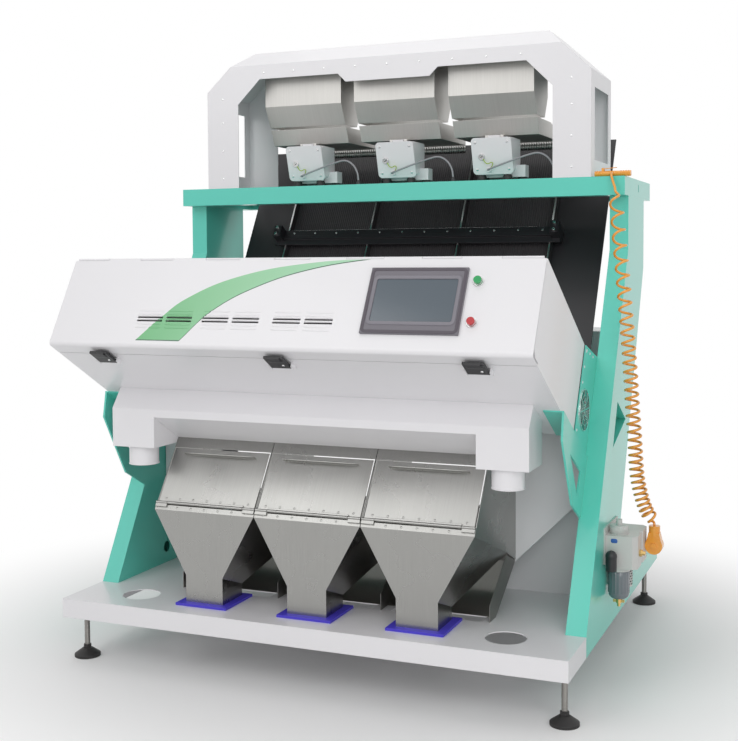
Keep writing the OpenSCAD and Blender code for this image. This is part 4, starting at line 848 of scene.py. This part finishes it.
# %% Material makers
def coated(name, colour, rough=0.35, edge_highlight=0.06, radius=0.0012, peel_size=220.0, coat=0.0, shade=0.06, bump=0.15,
           pattern=None):
    """Powder coat or moulded plastic: darker by shade in clouds, lighter at the folds as a painted highlight."""
    material, tree, shader = start_material(name)
    grain = place_group(tree, peel, Size=peel_size, Cloud=2.2)
    colour = np.array(colour)
    pale = np.clip(colour * (1 + shade / 2), 0, 1)
    body = mix_colours(tree, grain.outputs["Cloud"], colour * (1 - shade), pale)
    # Painted highlight: the colour lightens along the folded edges, where the rounded sheet would catch light.
    if edge_highlight:
        edge_highlight_mask = place_group(tree, edges, Radius=radius, Strength=2.0)
        body = mix_colours(tree, edge_highlight_mask.outputs["Edge"], body, np.clip(colour + edge_highlight, 0, 1))
    if pattern:
        body = pattern(tree, body)
    tree.links.new(body, shader.inputs["Base Color"])
    tree.links.new(spread(tree, grain.outputs["Cloud"], rough - 0.05, rough + 0.05), shader.inputs["Roughness"])
    tree.links.new(bumped(tree, grain.outputs["Height"], 0.0006, bump, radius), shader.inputs["Normal"])
    shader.inputs["Coat Weight"].default_value = coat
    shader.inputs["Coat Roughness"].default_value = 0.12
    return material


def steel_sheet(name, colour, rough=0.28, spread_by=0.08, along_size=9.0, radius=0.0012, bump=0.05):
    """Brushed sheet: tone and roughness follow the brushed lines and broad clouds.

    The edges are paler: a painted highlight.
    """
    material, tree, shader = start_material(name)
    brush = place_group(tree, brushed, Across=900.0, Along=along_size, Cloud=5.0)
    colour = np.array(colour)
    tone = mix_colours(tree, brush.outputs["Streak"], colour * 0.80, np.clip(colour * 1.14, 0, 1))
    tone = mix_colours(tree, spread(tree, brush.outputs["Cloud"], 0.0, 0.5), tone, np.clip(colour * 1.2, 0, 1))
    # Painted highlight: the steel is paler along its edges.
    edge_highlight_mask = place_group(tree, edges, Radius=radius, Strength=1.5)
    tone = mix_colours(tree, edge_highlight_mask.outputs["Edge"], tone, np.clip(colour * 1.6, 0, 0.92))
    tree.links.new(tone, shader.inputs["Base Color"])
    shader.inputs["Metallic"].default_value = 1.0
    roughness = spread(tree, brush.outputs["Cloud"], rough - spread_by, rough + spread_by)
    tree.links.new(roughness, shader.inputs["Roughness"])
    tree.links.new(bumped(tree, brush.outputs["Streak"], 0.0004, bump, radius), shader.inputs["Normal"])
    return material


print("material makers ready")

# %% Paints
# The edge values below set how much the painted highlight lightens the folded edges.
WHITE = dict(colour=(0.80, 0.79, 0.81), rough=0.32, edge_highlight=0.05, radius=0.0015, coat=0.2, shade=0.03)
white_paint = coated("white_paint", **WHITE)
door_paint = coated("door_paint", pattern=swept, **WHITE)
green_paint = coated("green_paint", (0.110, 0.640, 0.520), 0.30, edge_highlight=0.10, radius=0.0015, coat=0.4, shade=0.05)
black_paint = coated("black_paint", (0.016, 0.015, 0.018), rough=0.40, edge_highlight=0.04, shade=0.2)
chute_coat = coated("chute_coat", (0.042, 0.039, 0.042), rough=0.36, edge_highlight=0.05, shade=0.15)
pale_casting = coated("pale_casting", (0.60, 0.60, 0.58), rough=0.42, edge_highlight=0.08, peel_size=700.0)
print("materials so far:", len(bpy.data.materials))

# %% Plastics and rubber
# As above, the edge values set the painted highlight at the folds.
BEZEL, CAP = dict(rough=0.5, radius=0.001, peel_size=1500.0), dict(rough=0.25, edge_highlight=0.05, radius=0.0008, coat=0.4)
GLOSSY, SHEATH = dict(edge_highlight=0.0, radius=0.0, coat=0.4, shade=0.10), dict(edge_highlight=0.0, radius=0.0, peel_size=900.0)
black_plastic = coated("black_plastic", (0.018, 0.018, 0.020), 0.45, edge_highlight=0.04, radius=0.001, peel_size=900.0)
bezel_plastic = coated("bezel_plastic", (0.165, 0.155, 0.178), edge_highlight=0.05, **BEZEL)
dark_bezel = coated("dark_bezel", (0.085, 0.073, 0.090), edge_highlight=0.04, **BEZEL)
inner_bezel = coated("inner_bezel", (0.200, 0.190, 0.218), 0.42, edge_highlight=0.03, radius=0.0008, peel_size=1500.0)
screen_plastic = coated("screen_plastic", (0.080, 0.105, 0.130), rough=0.12, **GLOSSY)
green_cap = coated("green_cap", (0.010, 0.330, 0.090), **CAP)
red_cap = coated("red_cap", (0.480, 0.012, 0.020), **CAP)
blue_seal = coated("blue_seal", (0.070, 0.050, 0.600), rough=0.5, edge_highlight=0.08, peel_size=500.0)
orange_tube = coated("orange_tube", (0.900, 0.370, 0.040), rough=0.24, **GLOSSY)
smoked_bowl = coated("smoked_bowl", (0.165, 0.185, 0.205), rough=0.20, edge_highlight=0.06, radius=0.001, coat=0.4)
foot_rubber = coated("foot_rubber", (0.020, 0.019, 0.019), rough=0.6, edge_highlight=0.03, peel_size=700.0)
lead_sheath = coated("lead_sheath", (0.300, 0.300, 0.320), rough=0.5, **SHEATH)
earth_sheath = coated("earth_sheath", (0.360, 0.480, 0.030), rough=0.45, **SHEATH)
blue_tag = coated("blue_tag", (0.030, 0.120, 0.420), rough=0.35, **SHEATH)
print("materials so far:", len(bpy.data.materials))

# %% Metals and glass
# Painted shade: the stainless is darker than bare steel, standing in for dark surroundings in its reflection.
stainless = steel_sheet("stainless", (0.34, 0.338, 0.325), rough=0.28)
# Feed hoppers and trays: rougher, as their steel is duller, and paler as painted light for the bright hall they
# reflect.
feed_steel_painted_light = steel_sheet("feed_steel_painted_light", (0.50, 0.49, 0.47), rough=0.46)
dull_steel = steel_sheet("dull_steel", (0.28, 0.27, 0.255), rough=0.40)
bright_steel = steel_sheet("bright_steel", (0.66, 0.66, 0.66), rough=0.22, along_size=200.0, radius=0.0005)
brass = steel_sheet("brass", (0.70, 0.48, 0.19), rough=0.25, along_size=300.0, radius=0.0005)
machined = steel_sheet("machined", (0.55, 0.55, 0.57), rough=0.36, along_size=60.0)

glass, tree, shader = start_material("window_glass")
film = place_group(tree, peel, Size=30.0, Cloud=6.0)
glass_tone = mix_colours(tree, film.outputs["Cloud"], (0.80, 0.88, 0.88), (0.90, 0.95, 0.95))
tree.links.new(glass_tone, shader.inputs["Base Color"])
tree.links.new(spread(tree, film.outputs["Height"], 0.03, 0.07), shader.inputs["Roughness"])
shader.inputs["Transmission Weight"].default_value = 0.9
print("materials:", len(bpy.data.materials))

# %% [markdown]
# ## Dressing the machine
#
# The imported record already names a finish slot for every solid, and each new piece was given a slot when it was
# made. One dictionary from slot to material dresses them all; a second one holds the few exceptions.

# %% Materials on solids and pieces
slot_finish = {
    "white_paint": white_paint, "green_paint": green_paint, "black_paint": black_paint, "dark_chute": chute_coat,
    "stainless": stainless, "dull_steel": dull_steel, "machined_aluminium": machined, "window_glass": glass,
    "bezel_plastic": bezel_plastic, "screen_plastic": screen_plastic, "green_button": green_cap,
    "red_button": red_cap, "black_plastic": black_plastic, "blue_gasket": blue_seal, "pale_casting": pale_casting,
    "grey_plastic": smoked_bowl, "brass": brass, "orange_plastic": orange_tube, "foot_rubber": foot_rubber,
    "bright_wire": bright_steel, "grey_lead": lead_sheath}
special_finish = {
    "front_door": door_paint, "louvre_ribs": door_paint, "screen_inner_frame": inner_bezel,
    "screen_outer_lip": dark_bezel, "earth_wires": earth_sheath, "air_tag": blue_tag}
# The feed hoppers and trays take the paler steel, whose colour holds painted light.
for side_name in CHANNELS:
    special_finish["feed_hopper_" + side_name] = feed_steel_painted_light
    special_finish["feeder_tray_" + side_name] = feed_steel_painted_light


def finish_with(piece, material):
    """The piece's only material."""
    piece.data.materials.clear()
    piece.data.materials.append(material)


for sub in frame["record"]["subparts"]:
    name = sub["node"]
    finish_with(frame["nodes"][name], special_finish.get(name, slot_finish[sub["material_slot"]]))
for piece, slot in slot_of.items():
    finish_with(piece, special_finish.get(piece.name, slot_finish[slot]))

# %% [markdown]
# ## The floor and the light
#
# The machine stands in a bright white hall. A large pale floor catches its shadow, soft lamps hang above and in
# front of it, and the world fills the rest. Far from the machine the floor turns into the white of the hall, so no
# horizon shows; near it the floor is ordinary matt paint and keeps the shadow.

# %% Floor
FADE_FROM, FADE_TO = 0.8, 2.0
floor_line = np.linspace(-14000, 14000, 3)
floor_x, floor_y = np.meshgrid(floor_line, floor_line + MIDDLE[1], indexing="xy")
floor_grid = np.stack([floor_x, floor_y, np.zeros((3, 3))], -1)
floor = grids_piece("floor", floor_grid[None], None, None, round_trip=False)
floor_paint, tree, shader = start_material("floor_paint")
link = tree.links.new
speckle = place_group(tree, peel, Size=40.0, Cloud=0.4)
floor_tone = mix_colours(tree, speckle.outputs["Cloud"], (0.88, 0.88, 0.88), (0.92, 0.92, 0.92))
link(floor_tone, shader.inputs["Base Color"])
shader.inputs["Roughness"].default_value = 0.7
place = node(tree, "ShaderNodeTexCoord")
away = node(tree, "ShaderNodeVectorMath", operation="DISTANCE")
link(place.outputs["Object"], away.inputs[0])
away.inputs[1].default_value = tuple(at(MIDDLE))
fade = node(tree, "ShaderNodeMapRange", interpolation_type="SMOOTHSTEP", From_Min=FADE_FROM, From_Max=FADE_TO)
link(away.outputs["Value"], fade.inputs["Value"])
white_hall = node(tree, "ShaderNodeEmission")
blend = node(tree, "ShaderNodeMixShader")
link(sums(tree, "MULTIPLY", fade.outputs[0], looked_at(tree)), blend.inputs[0])
link(shader.outputs[0], blend.inputs[1])
link(white_hall.outputs[0], blend.inputs[2])
link(blend.outputs[0], tree.nodes["Material Output"].inputs["Surface"])
finish_with(floor, floor_paint)
print("floor turns white from", FADE_FROM, "to", FADE_TO, "m away")

# %% Lamps
def area_lamp(name, place, target, size, power):
    """A square soft lamp at a place, turned to a target, both in machine millimetres."""
    lamp = bpy.data.lights.new(name, "AREA")
    lamp.shape = "SQUARE"
    lamp.size = size
    lamp.energy = power
    holder = bpy.data.objects.new(name, lamp)
    bpy.context.collection.objects.link(holder)
    holder.location = Vector(at(place))
    holder.rotation_euler = Vector(at(target) - at(place)).to_track_quat("-Z", "Y").to_euler()
    return holder


area_lamp("key_lamp", (-1800, -3200, 3600), (0, 600, 900), 3.0, 46)
area_lamp("front_lamp", (2600, -3400, 2200), (0, 500, 900), 2.6, 58)
area_lamp("top_lamp", (0, 700, 4600), MIDDLE, 3.6, 36)

# %% World
LIGHT_GIVEN, LIGHT_SEEN = 0.46, 1.0
world = bpy.data.worlds.new("white_hall")
bpy.context.scene.world = world
world.use_nodes = True
tree = world.node_tree
background = tree.nodes["Background"]
tree.links.new(spread(tree, looked_at(tree), LIGHT_GIVEN, LIGHT_SEEN), background.inputs["Strength"])
background.inputs["Color"].default_value = (1, 1, 1, 1)
bpy.context.scene.view_settings.view_transform = "Standard"
print("world:", world.name)

# %% Hand over
bpy.context.view_layer.update()
